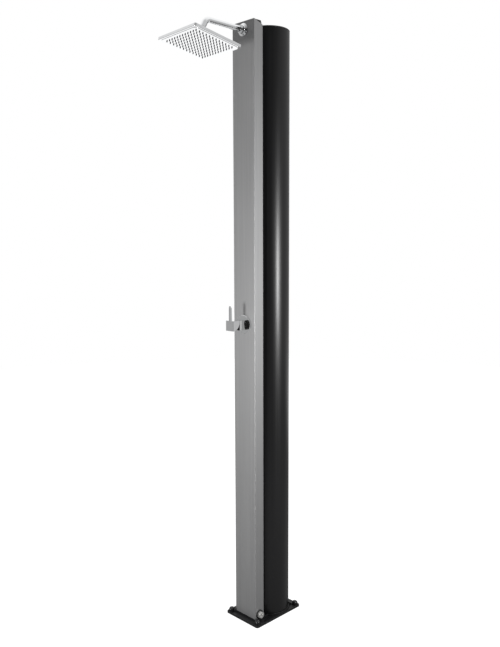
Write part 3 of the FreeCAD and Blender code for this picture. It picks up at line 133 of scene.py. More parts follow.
def light_room():
    """World: white to the camera, and to all else the dim room with its pale and white sides.

    The wall's brightness follows the direction's dot product with the wall's middle. The
    larger of the ceiling's white, which follows the height, and the sheet's is added.
    """
    world = bpy.data.worlds.new("studio")
    bpy.context.scene.world = world
    world.use_nodes = True
    tree = world.node_tree
    tree.nodes.clear()
    direction = add(tree, "TexCoord").outputs["Generated"]
    height = add(tree, "SeparateXYZ", {"Vector": direction}).outputs["Z"]
    to_wall, to_sheet = (
        add(tree, "VectorMath", {0: direction, 1: (math.cos(azimuth), math.sin(azimuth), 0.0)},
            operation="DOT_PRODUCT").outputs["Value"] for azimuth in (WALL_AZIMUTH, SHEET_AZIMUTH))
    wall, ceiling, sheet = (
        add(tree, "MapRange", {"Value": value, "From Min": start, "From Max": whole,
                               "To Min": darkest, "To Max": brightest},
            interpolation_type="SMOOTHSTEP").outputs[0]
        for value, start, whole, darkest, brightest in (
            (to_wall, WALL_EDGE, WALL_FULL, ROOM_DIM, ROOM_PALE),
            (height, CEILING_FROM, CEILING_FULL, 0.0, WHITE_MORE),
            (to_sheet, SHEET_FROM, SHEET_FULL, 0.0, WHITE_MORE)))
    white = add(tree, "Math", {0: ceiling, 1: sheet}, operation="MAXIMUM").outputs[0]
    room = add(tree, "Math", {0: wall, 1: white}, operation="ADD").outputs[0]
    seen = add(tree, "LightPath").outputs["Is Camera Ray"]
    level = add(tree, "Mix", {"Factor": seen, "A": room, "B": 1.0}).outputs[0]
    back = add(tree, "Background", {"Color": (1, 1, 1, 1), "Strength": level}).outputs[0]
    tree.links.new(back, add(tree, "OutputWorld").inputs["Surface"])


def hang_lamp(name, azimuth, distance, height, power):
    """Soft rectangular lamp at distance * (cos, sin) of its azimuth, facing the post's axis."""
    data = bpy.data.lights.new(name, "AREA")
    data.shape = "RECTANGLE"
    data.size, data.size_y = LAMP_WIDE, LAMP_HIGH
    data.energy = power
    lamp = bpy.data.objects.new(name, data)
    angle = math.radians(azimuth)
    outward = Vector((math.cos(angle), math.sin(angle), 0))
    lamp.location = (distance * math.cos(angle), distance * math.sin(angle), height)
    lamp.rotation_euler = outward.to_track_quat("Z", "Y").to_euler()
    lamp.visible_camera = False
    bpy.context.scene.collection.objects.link(lamp)


def lay_floor():
    """Round grey floor, white to the camera and, well behind the post, to reflections.

    Its rim is radius * (cos, sin) of evenly spaced angles. Lit paint lies under the white,
    so the post's shadow shows in it.
    """
    angle = np.linspace(0, 2 * math.pi, FLOOR_SIDES, endpoint=False)
    level = np.full(FLOOR_SIDES, -FLOOR_DROP)
    rim = np.stack([FLOOR_R * np.cos(angle), FLOOR_R * np.sin(angle), level], axis=1)
    mesh = bpy.data.meshes.new("floor")
    mesh.from_pydata(rim.tolist(), [], [list(range(FLOOR_SIDES))])
    floor = bpy.data.objects.new("floor", mesh)
    bpy.context.scene.collection.objects.link(floor)
    material = bpy.data.materials.new("white_studio_floor")
    material.use_nodes = True
    tree = material.node_tree
    tree.nodes.clear()
    path = add(tree, "LightPath")
    wall = (math.cos(WALL_AZIMUTH), math.sin(WALL_AZIMUTH), 0.0)
    behind = add(tree, "VectorMath", {0: add(tree, "TexCoord").outputs["Object"], 1: wall},
                 operation="DOT_PRODUCT").outputs["Value"]
    paper = add(tree, "MapRange", {"Value": behind, "From Min": PAPER_FROM, "From Max": PAPER_FULL},
                interpolation_type="SMOOTHSTEP").outputs[0]
    mirrored = add(tree, "Math", {0: path.outputs["Is Glossy Ray"], 1: paper},
                   operation="MULTIPLY").outputs[0]
    seen = add(tree, "Math", {0: path.outputs["Is Camera Ray"], 1: mirrored},
               operation="MAXIMUM").outputs[0]
    paint = add(tree, "BsdfDiffuse", {"Color": linear("8a8a8a")}).outputs[0]
    glow_colour = (PAPER_GLOW, PAPER_GLOW, PAPER_GLOW, 1)
    glow = add(tree, "Emission", {"Color": glow_colour, "Strength": seen}).outputs[0]
    both = add(tree, "AddShader", {0: paint, 1: glow}).outputs[0]
    tree.links.new(both, add(tree, "OutputMaterial").inputs["Surface"])
    mesh.materials.append(material)


aim_camera()
bpy.context.scene.view_settings.view_transform = "Standard"
light_room()
for lamp_name, lamp_sizes in LAMPS.items():
    hang_lamp(lamp_name, *lamp_sizes)
lay_floor()

# ---- Base ------------------------------------------------------------------------
# One black ABS moulding with a raised seat for the tank and the panel and four ribbed bolt
# bosses, on which washers of the same plastic lie. The mould was spark eroded, which leaves
# a satin face with a fine even grain.
NOISE_LOW, NOISE_HIGH = 0.3, 0.7      # most of a noise lies between these


def finish(name, colours, roughness, cell, depth, metallic=0.0, stretch=(1, 1, 1), gloss=0.5):
    """Material whose colour, roughness and height all follow one noise in object space.

    A cell of the noise is cell metres across, times stretch along X, Y and Z. The two
    colours and the two roughnesses belong to its low and high places, and depth is how
    far in metres it stands up. Below one half, gloss weakens the reflection of a matt skin.
    """
    material = bpy.data.materials.new(name)
    material.use_nodes = True
    tree = material.node_tree
    shader = tree.nodes["Principled BSDF"]
    shader.inputs["Metallic"].default_value = metallic
    shader.inputs["Specular IOR Level"].default_value = gloss
    place = add(tree, "TexCoord").outputs["Object"]
    scale = [1 / (cell * longer) for longer in stretch]
    scaled = add(tree, "Mapping", {"Vector": place, "Scale": scale}).outputs[0]
    noise = add(tree, "TexNoise", {"Vector": scaled, "Scale": 1.0, "Detail": 3.0}).outputs[0]
    spread = add(tree, "MapRange", {"Value": noise, "From Min": NOISE_LOW,
                                    "From Max": NOISE_HIGH}).outputs[0]
    colour = add(tree, "Mix", {0: spread, 6: linear(colours[0]), 7: linear(colours[1])},
                 data_type="RGBA")
    rough = add(tree, "MapRange", {"Value": spread, "To Min": roughness[0], "To Max": roughness[1]})
    bump = add(tree, "Bump", {"Height": spread, "Distance": depth, "Strength": 1.0})
    tree.links.new(colour.outputs[2], shader.inputs["Base Color"])
    tree.links.new(rough.outputs[0], shader.inputs["Roughness"])
    tree.links.new(bump.outputs[0], shader.inputs["Normal"])
    return material


def dress(material, *nodes):
    """Give this material to CAD nodes that keep their own shape."""
    for node in nodes:
        for material_slot in frame["nodes"][node].material_slots:
            material_slot.material = material


# Spark-eroded ABS: grain of about 0.1 mm, drawn at 1.2 mm so that it shows.
moulded_abs = finish("spark_eroded_black_abs", ("0b0b0c", "131315"), (0.40, 0.54),
                     0.0012, 0.00002, gloss=0.3)
dress(moulded_abs, "base_plate", "bolt_washers")

# ---- Bolt caps ---------------------------------------------------------------------
# Domed caps of glossy black polyethylene that press over the floor bolts. Each is a
# thin shell with a rounded crown, moulded smooth, so it mirrors the lamps softly.
CAP_R = 0.0105
CAP_CROWN_R = 0.007
CAP_WALL = 0.0016
CAP_STEPS = 48
TURN_STEPS = 96
SAME_POINT, NO_LENGTH = 1e-6, 1e-7


def soften(corners, radii, steps=7):
    """Round the corners of an open line of points, each by its own radius.

    A corner's arc is a rational quadratic curve: it starts and ends radius / tan(half
    the corner's angle) from the corner, and the corner's weight is the sine of that
    half angle, which makes it a true circular arc.
    """
    corners = np.asarray(corners, float)
    ahead, behind = corners[2:] - corners[1:-1], corners[:-2] - corners[1:-1]
    ahead /= np.linalg.norm(ahead, axis=1, keepdims=True)
    behind /= np.linalg.norm(behind, axis=1, keepdims=True)
    half = np.arccos(np.clip((ahead * behind).sum(axis=1, keepdims=True), -1, 1)) / 2
    reach = np.asarray(radii, float)[:, None] / np.tan(half)
    start, end = corners[1:-1] + behind * reach, corners[1:-1] + ahead * reach
    along = np.linspace(0, 1, steps)[None, :, None]
    weights = [(1 - along) ** 2, 2 * along * (1 - along) * np.sin(half)[:, None], along ** 2]
    points = [start[:, None], corners[1:-1][:, None], end[:, None]]
    arcs = sum(weight * point for weight, point in zip(weights, points)) / sum(weights)
    return np.concatenate([corners[:1], arcs.reshape(-1, corners.shape[1]), corners[-1:]])


def surface(name, grid, wrap_rows=False, wrap_columns=True, sharp=32):
    """Closed mesh over a grid of points, with a four-sided face between each four neighbours.

    Points that coincide become one, so the mesh also closes where a row shrinks to a
    point. Edges that turn by more than sharp degrees are drawn sharp.
    """
    grid = np.asarray(grid, float)
    index = np.arange(grid.shape[0] * grid.shape[1]).reshape(grid.shape[:2])
    if wrap_rows:
        index = np.concatenate([index, index[:1]], axis=0)
    if wrap_columns:
        index = np.concatenate([index, index[:, :1]], axis=1)
    faces = np.stack([index[:-1, :-1], index[1:, :-1], index[1:, 1:], index[:-1, 1:]], axis=-1)
    mesh = bpy.data.meshes.new(name)
    mesh.from_pydata(grid.reshape(-1, 3).tolist(), [], faces.reshape(-1, 4).tolist())
    shell = bmesh.new()
    shell.from_mesh(mesh)
    bmesh.ops.remove_doubles(shell, verts=shell.verts, dist=SAME_POINT)
    bmesh.ops.dissolve_degenerate(shell, edges=shell.edges, dist=NO_LENGTH)
    bmesh.ops.recalc_face_normals(shell, faces=shell.faces)
    shell.to_mesh(mesh)
    shell.free()
    mesh.shade_smooth()
    mesh.set_sharp_from_angle(angle=math.radians(sharp))
    piece = bpy.data.objects.new(name, mesh)
    bpy.context.scene.collection.objects.link(piece)
    return piece


def turned_grid(profile, origin, axis, steps=TURN_STEPS):
    """Surface of revolution: origin + along * axis + radius * (side * cos + other side * sin).

    The first side is square to the axis and to X, so the axis can't run along X.
    """
    profile = np.asarray(profile, float)
    axis = np.asarray(axis, float) / np.linalg.norm(axis)
    side = np.cross(axis, (1.0, 0, 0))
    side /= np.linalg.norm(side)
    angle = np.linspace(0, 2 * math.pi, steps, endpoint=False)[:, None]
    spokes = side * np.cos(angle) + np.cross(axis, side) * np.sin(angle)
    radius, along = profile[:, 0, None, None], profile[:, 1, None, None]
    return np.asarray(origin) + along * axis + radius * spokes


def place(piece, body, slot, material, *nodes):
    """Give a new piece its material and body, and let it stand for CAD nodes; slot is not used."""
    piece.data.materials.append(material)
    piece.modifiers.new("flat faces shade flat", "WEIGHTED_NORMAL").keep_sharp = True
    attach(piece, body)
    if nodes:
        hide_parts(*nodes)


def several(name, grids, **settings):
    """One piece of several closed meshes, for groups of like pieces."""
    pieces = [surface(f"{name}_{number}", grid, **settings) for number, grid in enumerate(grids)]
    whole = bmesh.new()
    for piece in pieces:
        whole.from_mesh(piece.data)
    for piece in pieces[1:]:
        bpy.data.objects.remove(piece)
    whole.to_mesh(pieces[0].data)
    whole.free()
    pieces[0].name = name
    return pieces[0]


def cap_grid(foot, tall, centre_x, centre_y):
    """Half section of a hollow dome, up its outside and down its inside, turned about its axis."""
    room_r, roof = CAP_R - CAP_WALL, tall - CAP_WALL
    crown = soften([(CAP_R, 0), (CAP_R, tall), (0, tall)], [CAP_CROWN_R])
    room = soften([(0, roof), (room_r, roof), (room_r, 0)], [CAP_CROWN_R])
    dome = np.concatenate([crown, room])
    return turned_grid(dome, (centre_x, centre_y, foot), (0, 0, 1), CAP_STEPS)


low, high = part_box("bolt_caps")
corner_x, corner_y = high[0] - CAP_R, high[1] - CAP_R
cap_grids = [cap_grid(low[2], high[2] - low[2], side * corner_x, end * corner_y)
             for side in (-1, 1) for end in (-1, 1)]
caps = several("bolt_cap_domes", cap_grids, wrap_rows=True)
# Smooth polyethylene: slight waves of some 8 mm left by shrinkage, otherwise glossy.
gloss_pe = finish("smooth_black_polyethylene", ("131315", "19191b"), (0.16, 0.24),
                  0.008, 0.00001)
place(caps, "post", "cap_black", gloss_pe, "bolt_caps")

# ---- Front panel -------------------------------------------------------------------
# A channel folded from 1.5 mm stainless sheet, with a narrow return along each rear
# edge and its top rear corner cut to a slope. The face was brushed lengthwise before
# folding, so fine scratches run from top to bottom and widen the lamps' reflections.
SHEET = 0.0015
BEND_R = 0.0025
RETURN_LIP = 0.011
SLOPE_BACK, SLOPE_DOWN = 0.008, 0.016


def panel_grid(low, high):
    """The folded outline, drawn upwards.

    It runs along the channel's outer side and then back along the inner one, one sheet
    inwards. The top falls evenly by SLOPE_DOWN over the last SLOPE_BACK at the rear.
    """
    half, front, back = high[0], low[1], high[1]
    lip = half - SHEET - RETURN_LIP
    outer = soften([(-lip, back), (-half, back), (-half, front), (half, front), (half, back),
                    (lip, back)], [BEND_R / 2, BEND_R, BEND_R, BEND_R / 2])
    room, inside, behind = half - SHEET, front + SHEET, back - SHEET
    inner = soften([(-lip, behind), (-room, behind), (-room, inside), (room, inside),
                    (room, behind), (lip, behind)],
                   [BEND_R / 4, BEND_R - SHEET, BEND_R - SHEET, BEND_R / 4])
    middle = (outer + inner) / 2
    ends = [np.concatenate([middle[:1], line, middle[-1:]]) for line in (outer, inner)]
    rows = []
    for line, level in ((ends[0], 0), (ends[0], 1), (ends[1], 1), (ends[1], 0)):
        past_slope = np.clip((line[:, 1] - (back - SLOPE_BACK)) / SLOPE_BACK, 0, 1)
        top = high[2] - SLOPE_DOWN * past_slope
        rows.append(np.column_stack([line, top if level else np.full(len(line), low[2])]))
    return rows


panel = surface("folded_panel", panel_grid(*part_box("front_panel")), wrap_rows=True,
                wrap_columns=False)

STEEL_ROUGHNESS = (0.52, 0.64)
SCRATCH_WIDE, SCRATCH_LONG, SCRATCH_DEEP = 0.0008, 0.4, 0.00002
CLOUD_WIDE, CLOUD_LONG, CLOUD_SHARE = 0.0625, 0.2, 0.45


def brushed_steel():
    """Brushed 304 stainless: scratches 0.1 mm wide, drawn 0.8 mm wide to show, and long.

    Fine streaks change colour, height and roughness. A broad cloud of 60 mm dulls it
    unevenly, as handling and rinsing leave it.
    """
    material = bpy.data.materials.new("lengthwise_brushed_stainless")
    material.use_nodes = True
    tree = material.node_tree
    shader = tree.nodes["Principled BSDF"]
    shader.inputs["Metallic"].default_value = 1.0
    here = add(tree, "TexCoord").outputs["Object"]
    noises = []
    for wide, long, detail in ((SCRATCH_WIDE, SCRATCH_LONG, 2.0), (CLOUD_WIDE, CLOUD_LONG, 3.0)):
        scale = (1 / wide, 1 / wide, 1 / long)
        scaled = add(tree, "Mapping", {"Vector": here, "Scale": scale}).outputs[0]
        noises.append(add(tree, "TexNoise", {"Vector": scaled, "Scale": 1.0, "Detail": detail}))
    fine, broad = (noise.outputs[0] for noise in noises)
    streak = add(tree, "MapRange", {"Value": fine, "From Min": NOISE_LOW,
                                    "From Max": NOISE_HIGH}).outputs[0]
    colour = add(tree, "Mix", {0: streak, 6: linear("959596"), 7: linear("a3a3a3")},
                 data_type="RGBA")
    mixed = add(tree, "Mix", {"Factor": CLOUD_SHARE, "A": streak, "B": broad}).outputs[0]
    rough = add(tree, "MapRange", {"Value": mixed, "To Min": STEEL_ROUGHNESS[0],
                                   "To Max": STEEL_ROUGHNESS[1]})
    bump = add(tree, "Bump", {"Height": streak, "Distance": SCRATCH_DEEP, "Strength": 1.0})
    tree.links.new(colour.outputs[2], shader.inputs["Base Color"])
    tree.links.new(rough.outputs[0], shader.inputs["Roughness"])
    tree.links.new(bump.outputs[0], shader.inputs["Normal"])
    return material


place(panel, "post", "panel_steel", brushed_steel(), "front_panel")

# ---- Panel's lid, rear cover and their fixings --------------------------------------
# The lid and the strip behind the channel are powder coated black. Twelve pan head
# screws hold the strip; a zinc plated bracket inside the foot takes the base's screws.
# Powder coat: orange peel with waves of about 1.5 mm.
powder_coat = finish("black_powder_coat", ("0f0f10", "18181a"), (0.38, 0.52), 0.0015, 0.00003)
dress(powder_coat, "panel_top_cap", "rear_cover", "saddles")
# Bright zinc on steel: faint mottling some 0.8 mm across.
screw_zinc = finish("bright_zinc_screws", ("a9abad", "c3c5c6"), (0.28, 0.42),
                    0.0008, 0.00001, metallic=1.0)
dress(screw_zinc, "cover_screws", "foot_screws", "tank_screws", "saddle_screws",
      "handle_grub_screw", "pivot_pin")
# Galvanised sheet: crystals of zinc some 9 mm across.
zinc_sheet = finish("galvanised_sheet", ("a3a8aa", "b9bdbf"), (0.36, 0.5),
                    0.009, 0.00001, metallic=1.0)
dress(zinc_sheet, "foot_bracket")

# ---- Tank ---------------------------------------------------------------------------
# A length of 160 mm black pipe between a plug below and a lid above. The pipe is
# extruded, which leaves it satin, with very faint lines along its length. The lid has
# a rounded edge and a narrow shadow gap where it meets the pipe.
TANK_WALL = 0.005
LID_EDGE_R = 0.002
JOINT_GAP = 0.0006
TANK_STEPS = 160

low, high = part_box("tank_tube")
tank_r = (high[0] - low[0]) / 2
tank_axis = (0, (low[1] + high[1]) / 2, low[2])
tall = high[2] - low[2] - JOINT_GAP / 2
tank_bore = tank_r - TANK_WALL
tube_wall = soften([(tank_bore, 0), (tank_r, 0), (tank_r, tall), (tank_bore, tall)],
                   [JOINT_GAP, JOINT_GAP])
tank = surface("tank_pipe", turned_grid(tube_wall, tank_axis, (0, 0, 1), TANK_STEPS),
               wrap_rows=True)
# Extruded polyethylene pipe: die lines about 0.3 mm wide, drawn 2 mm wide, long as the pipe.
extruded_pe = finish("extruded_black_pipe", ("0a0a0b", "101011"), (0.30, 0.36), 0.002, 0.000004,
                     stretch=(1, 1, 500), gloss=0.42)
place(tank, "post", "tank_black", extruded_pe, "tank_tube")

low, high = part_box("tank_top_cap")
lid_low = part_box("tank_tube")[1][2] + JOINT_GAP / 2
lid_line = soften([(0, 0), (tank_r, 0), (tank_r, high[2] - lid_low), (0, high[2] - lid_low)],
                  [JOINT_GAP, LID_EDGE_R])
lid = surface("tank_lid", turned_grid(lid_line, (0, tank_axis[1], lid_low), (0, 0, 1), TANK_STEPS))
# Moulded polyethylene: a fine even grain, drawn at 1.2 mm so that it shows.
moulded_lid = finish("moulded_black_lid", ("0d0d0e", "151516"), (0.34, 0.44), 0.0012, 0.00001)
place(lid, "post", "tank_black", moulded_lid, "tank_top_cap")
dress(moulded_lid, "tank_bottom_plug")

# ---- Seals ----------------------------------------------------------------------------
# Black EPDM rubber, pressed between the metal pieces: matt, with a skin that is
# slightly wrinkled where it was moulded.
epdm = finish("moulded_epdm_rubber", ("0e0e0e", "191919"), (0.62, 0.8), 0.0009, 0.00003)
dress(epdm, "tank_rings", "union_seals", "inlet_seal", "rose_seal", "flange_seal", "flow_washer")

# ---- Water inlet ------------------------------------------------------------------------
# A nickel plated brass nipple with a hexagon to turn it by and a threaded bore for the
# hose. The hexagon was milled from bar and its outer corners chamfered on the lathe.
THREAD_PITCH = 0.0018
THREAD_DEPTH = 0.0006
THREAD_ROWS = 41
HEX_CHAMFER = 0.0012


def hex_grid(low, high, bore_r, bore_long):
    """Hexagon with chamfered corners, drawn along +X, and a threaded bore let into its end.

    The outline's radius is half the flats / cos(angle to the nearest flat's middle); at
    the mouth it is held to half the flats plus a chamfer. The bore's radius rises and
    falls with a wave of (distance / pitch - turns), which makes a screw thread.
    """
    centre = np.array([0, (low[1] + high[1]) / 2, (low[2] + high[2]) / 2])
    half_flats = (high[1] - low[1]) / 2
    angle = np.linspace(0, 2 * math.pi, TURN_STEPS, endpoint=False)
    from_flat = (angle + math.pi / 6) % (math.pi / 3) - math.pi / 6
    hexagon = half_flats / np.cos(from_flat)
    mouth = np.minimum(hexagon, half_flats + HEX_CHAMFER / 4)
    depth = np.linspace(0, bore_long, THREAD_ROWS)
    wave = np.abs((depth[:, None] / THREAD_PITCH - angle / (2 * math.pi)) % 1 * 2 - 1)
    thread = bore_r + THREAD_DEPTH * (wave * np.minimum(1, depth[:, None] / THREAD_PITCH) - 0.5)
    bore_edge = 0 * angle + bore_r + THREAD_DEPTH
    radius = np.vstack([0 * angle, hexagon, hexagon, mouth, bore_edge, thread, 0 * angle])
    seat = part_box("inlet_seal")[1][0]
    along = np.concatenate([[seat, seat, high[0] - HEX_CHAMFER, high[0], high[0]], high[0] - depth,
                            [high[0] - bore_long]])
    across = np.stack([0 * angle, np.cos(angle), np.sin(angle)], axis=1)
    return along[:, None, None] * np.array([1, 0, 0]) + centre + radius[..., None] * across


INLET_BORE_R = 0.0057
INLET_BORE_LONG = 0.010
inlet = surface("inlet_hexagon", hex_grid(*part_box("inlet_fitting"), INLET_BORE_R, INLET_BORE_LONG),
                sharp=25)
# Satin nickel: turning marks of about 0.2 mm under the plating, drawn at 0.7 mm.
nickel_plate = finish("satin_nickel_plate", ("e6e5e3", "f2f1ef"), (0.36, 0.46),
                      0.0007, 0.00001, metallic=1.0)
place(inlet, "post", "nickel", nickel_plate, "inlet_fitting")

# ---- Pipes and fittings inside ------------------------------------------------------------
# Brass nuts, tees and elbows as they come from the lathe, white PEX pipes, acetal clips
# and valve, and the mixer's cartridge with its two ceramic discs, all behind the steel.

# Turned brass: faint marks of the tool, drawn 1.2 mm wide, dull where fingers held it.
brass = finish("turned_brass", ("a8894a", "c9a864"), (0.26, 0.42), 0.0012, 0.00001,
               metallic=1.0, stretch=(1, 4, 4))
dress(brass, "union_nuts", "inlet_nut", "inlet_tee", "pipe_nuts", "hot_elbow",
      "mixer_manifold", "arm_elbow", "mixer_nut", "arm_nut", "mixer_stem")
# Extruded cross-linked polyethylene: matt, with die lines along the pipe.
pex = finish("extruded_white_pex", ("dcdcd6", "e6e6e1"), (0.38, 0.48), 0.0015, 0.00001,
             stretch=(1, 1, 60))
dress(pex, "cold_pipe", "hot_pipe", "mixed_pipe")
# Moulded acetal, white or dyed blue: smooth and waxy, with slight waves of 3 mm from
# shrinkage.
acetal = finish("moulded_white_acetal", ("e0e0db", "eaeae6"), (0.3, 0.4), 0.003, 0.00001)
dress(acetal, "check_valve", "pipe_clips", "cartridge_rotor", "ball_seat")
blue_acetal = finish("moulded_blue_cartridge", ("2f5688", "3f6ba1"), (0.34, 0.44), 0.003, 0.00001)
dress(blue_acetal, "cartridge_housing")
# Lapped alumina: almost a mirror, with a trace of the lapping grit.
ceramic = finish("lapped_alumina", ("e4e1da", "eeebe5"), (0.12, 0.2), 0.0008, 0.000002)
dress(ceramic, "fixed_disc", "moving_disc")

# ---- Mixer ----------------------------------------------------------------------------------
# Chrome plated brass: a round rose on the panel, a square body, the cartridge's domed
# ring, and a square handle block with a rounded underside and a slim lever. The pieces
# are ground flat and their edges chamfered before they are polished and plated.
ROSE_CHAMFER = 0.0008
BODY_EDGE_R = 0.0015
BODY_IN_ROSE = 0.001
BLOCK_STEPS = 48
RING_R, RING_TOP_R, RING_BORE_R = 0.0135, 0.01155, 0.01075
RING_DOME = 0.003
RING_EDGES = [0.0001, 0.0004, 0.0006]
RING_STEPS = 64
TOWARDS_VIEWER = (0, -1, 0)
CHROME_WAVES = 110.0      # to the metre, so about 9 mm each
CHROME_WAVE_HIGH = 0.0000015
CHROME_DROPS = 200.0      # to the metre, so about 5 mm each
DROP_FLAT, DROP_END = 0.1, 0.3      # from a drop's middle, as shares of its cell
CHROME_CLEAN, CHROME_DULL = 0.055, 0.09


def chrome_plate():
    """Decorative chrome: a mirror with waves of about 9 mm from polishing, and dried drops.

    The drops are cells of some 5 mm, where hard water leaves the surface a little dull.
    """
    material = bpy.data.materials.new("decorative_chrome_plate")
    material.use_nodes = True
    tree = material.node_tree
    shader = tree.nodes["Principled BSDF"]
    shader.inputs["Metallic"].default_value = 1.0
    here = add(tree, "TexCoord").outputs["Object"]
    wave = add(tree, "TexNoise", {"Vector": here, "Scale": CHROME_WAVES, "Detail": 1.0}).outputs[0]
    drops = add(tree, "TexVoronoi", {"Vector": here, "Scale": CHROME_DROPS}).outputs["Distance"]
    dull = add(tree, "MapRange", {"Value": drops, "From Min": DROP_FLAT, "From Max": DROP_END,
                                  "To Min": CHROME_DULL, "To Max": CHROME_CLEAN}).outputs[0]
    colour = add(tree, "Mix", {0: wave, 6: linear("eeeff0"), 7: linear("f6f7f8")}, data_type="RGBA")
    bump = add(tree, "Bump", {"Height": wave, "Distance": CHROME_WAVE_HIGH, "Strength": 1.0})
    tree.links.new(colour.outputs[2], shader.inputs["Base Color"])
    tree.links.new(dull, shader.inputs["Roughness"])
    tree.links.new(bump.outputs[0], shader.inputs["Normal"])
    return material


def block_grid(half_x, half_z, corner, near, far, edge, centre_z):
    """Square bar with rounded edges along -Y.

    Each outline is plus or minus (half side - corner), plus corner * (cos, sin). At each
    end the half side and the corner shrink by the edge's arc, and then to the middle.
    """
    to_middle = min(half_x, half_z)
    sink = soften([(half_x, near), (0, near), (0, far), (half_x, far)], [edge, edge])
    sink = np.concatenate([[(to_middle, near)], sink, [(to_middle, far)]])
    shrink, along = np.minimum(sink[:, 0], to_middle), sink[:, 1]
    angle = np.linspace(0, 2 * math.pi, BLOCK_STEPS, endpoint=False) + math.pi / BLOCK_STEPS
    turn = np.stack([np.cos(angle), np.sin(angle)], axis=1)
    round_r = np.maximum(corner - shrink, 0)[:, None, None]
    halves = np.stack([half_x - shrink, half_z - shrink], axis=1)[:, None]
    outline = np.sign(turn) * (np.maximum(halves, 0) - round_r) + round_r * turn
    y = np.broadcast_to(along[:, None, None], outline[..., :1].shape)
    return np.concatenate([outline[..., :1], y, outline[..., 1:] + centre_z], axis=2)


chrome = chrome_plate()
low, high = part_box("mixer_rose")
rose_r, mixer_z = (high[0] - low[0]) / 2, (high[2] + low[2]) / 2
panel_front = high[1]
rose_thick = high[1] - low[1]
rose_line = [(0, 0), (rose_r, 0), (rose_r, rose_thick - ROSE_CHAMFER),
             (rose_r - ROSE_CHAMFER, rose_thick), (0, rose_thick)]
rose_grid = turned_grid(rose_line, (0, panel_front, mixer_z), TOWARDS_VIEWER)
rose = surface("mixer_rose_plate", rose_grid)
place(rose, "post", "chrome", chrome, "mixer_rose")

body_low, body_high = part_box("mixer_body")
body_half_x = (body_high[0] - body_low[0]) / 2
body_half_z = (body_high[2] - body_low[2]) / 2
body_grid = block_grid(body_half_x, body_half_z, BODY_EDGE_R, low[1] + BODY_IN_ROSE, body_low[1],
                       BODY_EDGE_R / 2, mixer_z)
body = surface("mixer_square_body", body_grid)
place(body, "post", "chrome", chrome)
dress(chrome, "mixer_body")

ring_low, ring_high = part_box("cartridge_nut")
ring_long = ring_high[1] - ring_low[1]
ring_line = soften([(RING_BORE_R, 0), (RING_R, 0), (RING_R, ring_long - RING_DOME),
                    (RING_TOP_R, ring_long), (RING_BORE_R, ring_long)], RING_EDGES)
ring_grid = turned_grid(ring_line, (0, ring_high[1], mixer_z), TOWARDS_VIEWER, RING_STEPS)
ring = surface("cartridge_ring", ring_grid, wrap_rows=True)
place(ring, "post", "chrome", chrome)
dress(chrome, "cartridge_nut")

HANDLE_CHAMFER = 0.0005
HANDLE_ROUND_R = 0.032
HANDLE_STEPS = 13
LEVER_CHAMFER = 0.0003
LEVER_TOP_HALF, LEVER_TIP_HALF, LEVER_TIP_LONG = 0.0040, 0.0018, 0.009
LEVER_IN_BLOCK = 0.0005


def prism_grid(outline, half_x, chamfer):
    """Outline in Y and Z, drawn along X, with both ends closed at its middle.

    At each end it is middle + (outline - middle) * (1 - chamfer / mean half width), so
    that a flat chamfer runs around both sides.
    """
    outline = np.asarray(outline, float)
    middle = np.broadcast_to((outline.min(axis=0) + outline.max(axis=0)) / 2, outline.shape)
    drawn_in = middle + (outline - middle) * (1 - chamfer / np.ptp(outline, axis=0).mean() * 2)
    sides = [(-half_x, middle), (-half_x, drawn_in), (chamfer - half_x, outline),
             (half_x - chamfer, outline), (half_x, drawn_in), (half_x, middle)]
    return [np.column_stack([np.full(len(line), x), line]) for x, line in sides]


low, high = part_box("handle_block")
deep = high[1] - low[1]
round_r = min(HANDLE_ROUND_R, deep - 2 * HANDLE_CHAMFER)
# Side view of the block: flat top and front, and a quarter round from underside to back.
handle_side = soften([(high[1], high[2]), (low[1], high[2]), (low[1], low[2]), (high[1], low[2]),
                      (high[1], high[2])], [HANDLE_CHAMFER, HANDLE_CHAMFER, round_r],
                     HANDLE_STEPS)[:-1]
handle = surface("handle_square_block", prism_grid(handle_side, high[0], HANDLE_CHAMFER))
place(handle, "handle", "chrome", chrome, "handle_block")

# The lever is a stack of chamfered squares: half side * corner, with the front faces in
# line, at heights that run from inside the block to the tip.
lever_foot = high[2] - LEVER_IN_BLOCK
low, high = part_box("lever")
half = np.array([0, high[0], LEVER_TOP_HALF, LEVER_TIP_HALF, 0])
rise = np.array([lever_foot, lever_foot, high[2] - LEVER_TIP_LONG, high[2], high[2]])
front_to_middle = np.array([high[0], high[0], LEVER_TOP_HALF, LEVER_TIP_HALF, LEVER_TIP_HALF])
chamfered = 1 - LEVER_CHAMFER / LEVER_TOP_HALF
square = np.array([(-chamfered, -1), (chamfered, -1), (1, -chamfered), (1, chamfered),
                   (chamfered, 1), (-chamfered, 1), (-1, chamfered), (-1, -chamfered)])
lever_grid = np.stack([square[:, 0] * half[:, None],
                       low[1] + front_to_middle[:, None] + square[:, 1] * half[:, None],
                       np.broadcast_to(rise[:, None], (len(rise), len(square)))], axis=2)
lever = surface("lever_bar", lever_grid)
place(lever, "handle", "chrome", chrome, "lever")

# ---- Arm -------------------------------------------------------------------------------------
# A 20 mm brass tube, bent by 60 degrees near its end and chrome plated. A flange with a
# sloping face and a collar covers the hole where it leaves the panel.
ARM_BEND_R = 0.022
ARM_BEND_STEPS = 25
ARM_WALL = 0.002
ARM_SIDES = 64
FLANGE_THICK = 0.004
FLANGE_EDGE_R = 0.0012
FLANGE_FOOT_R = 0.0002
COLLAR_R, COLLAR_LONG, COLLAR_EDGE_R, COLLAR_FOOT_R = 0.0145, 0.014, 0.001, 0.0015
BALL_TO_ARM = 0.0146

joint = {item["name"]: item for item in frame["joints"]}
ball = np.array(joint["head_tilt"]["pos_m"])
stud_axis = np.array(joint["head_swivel"]["axis"])


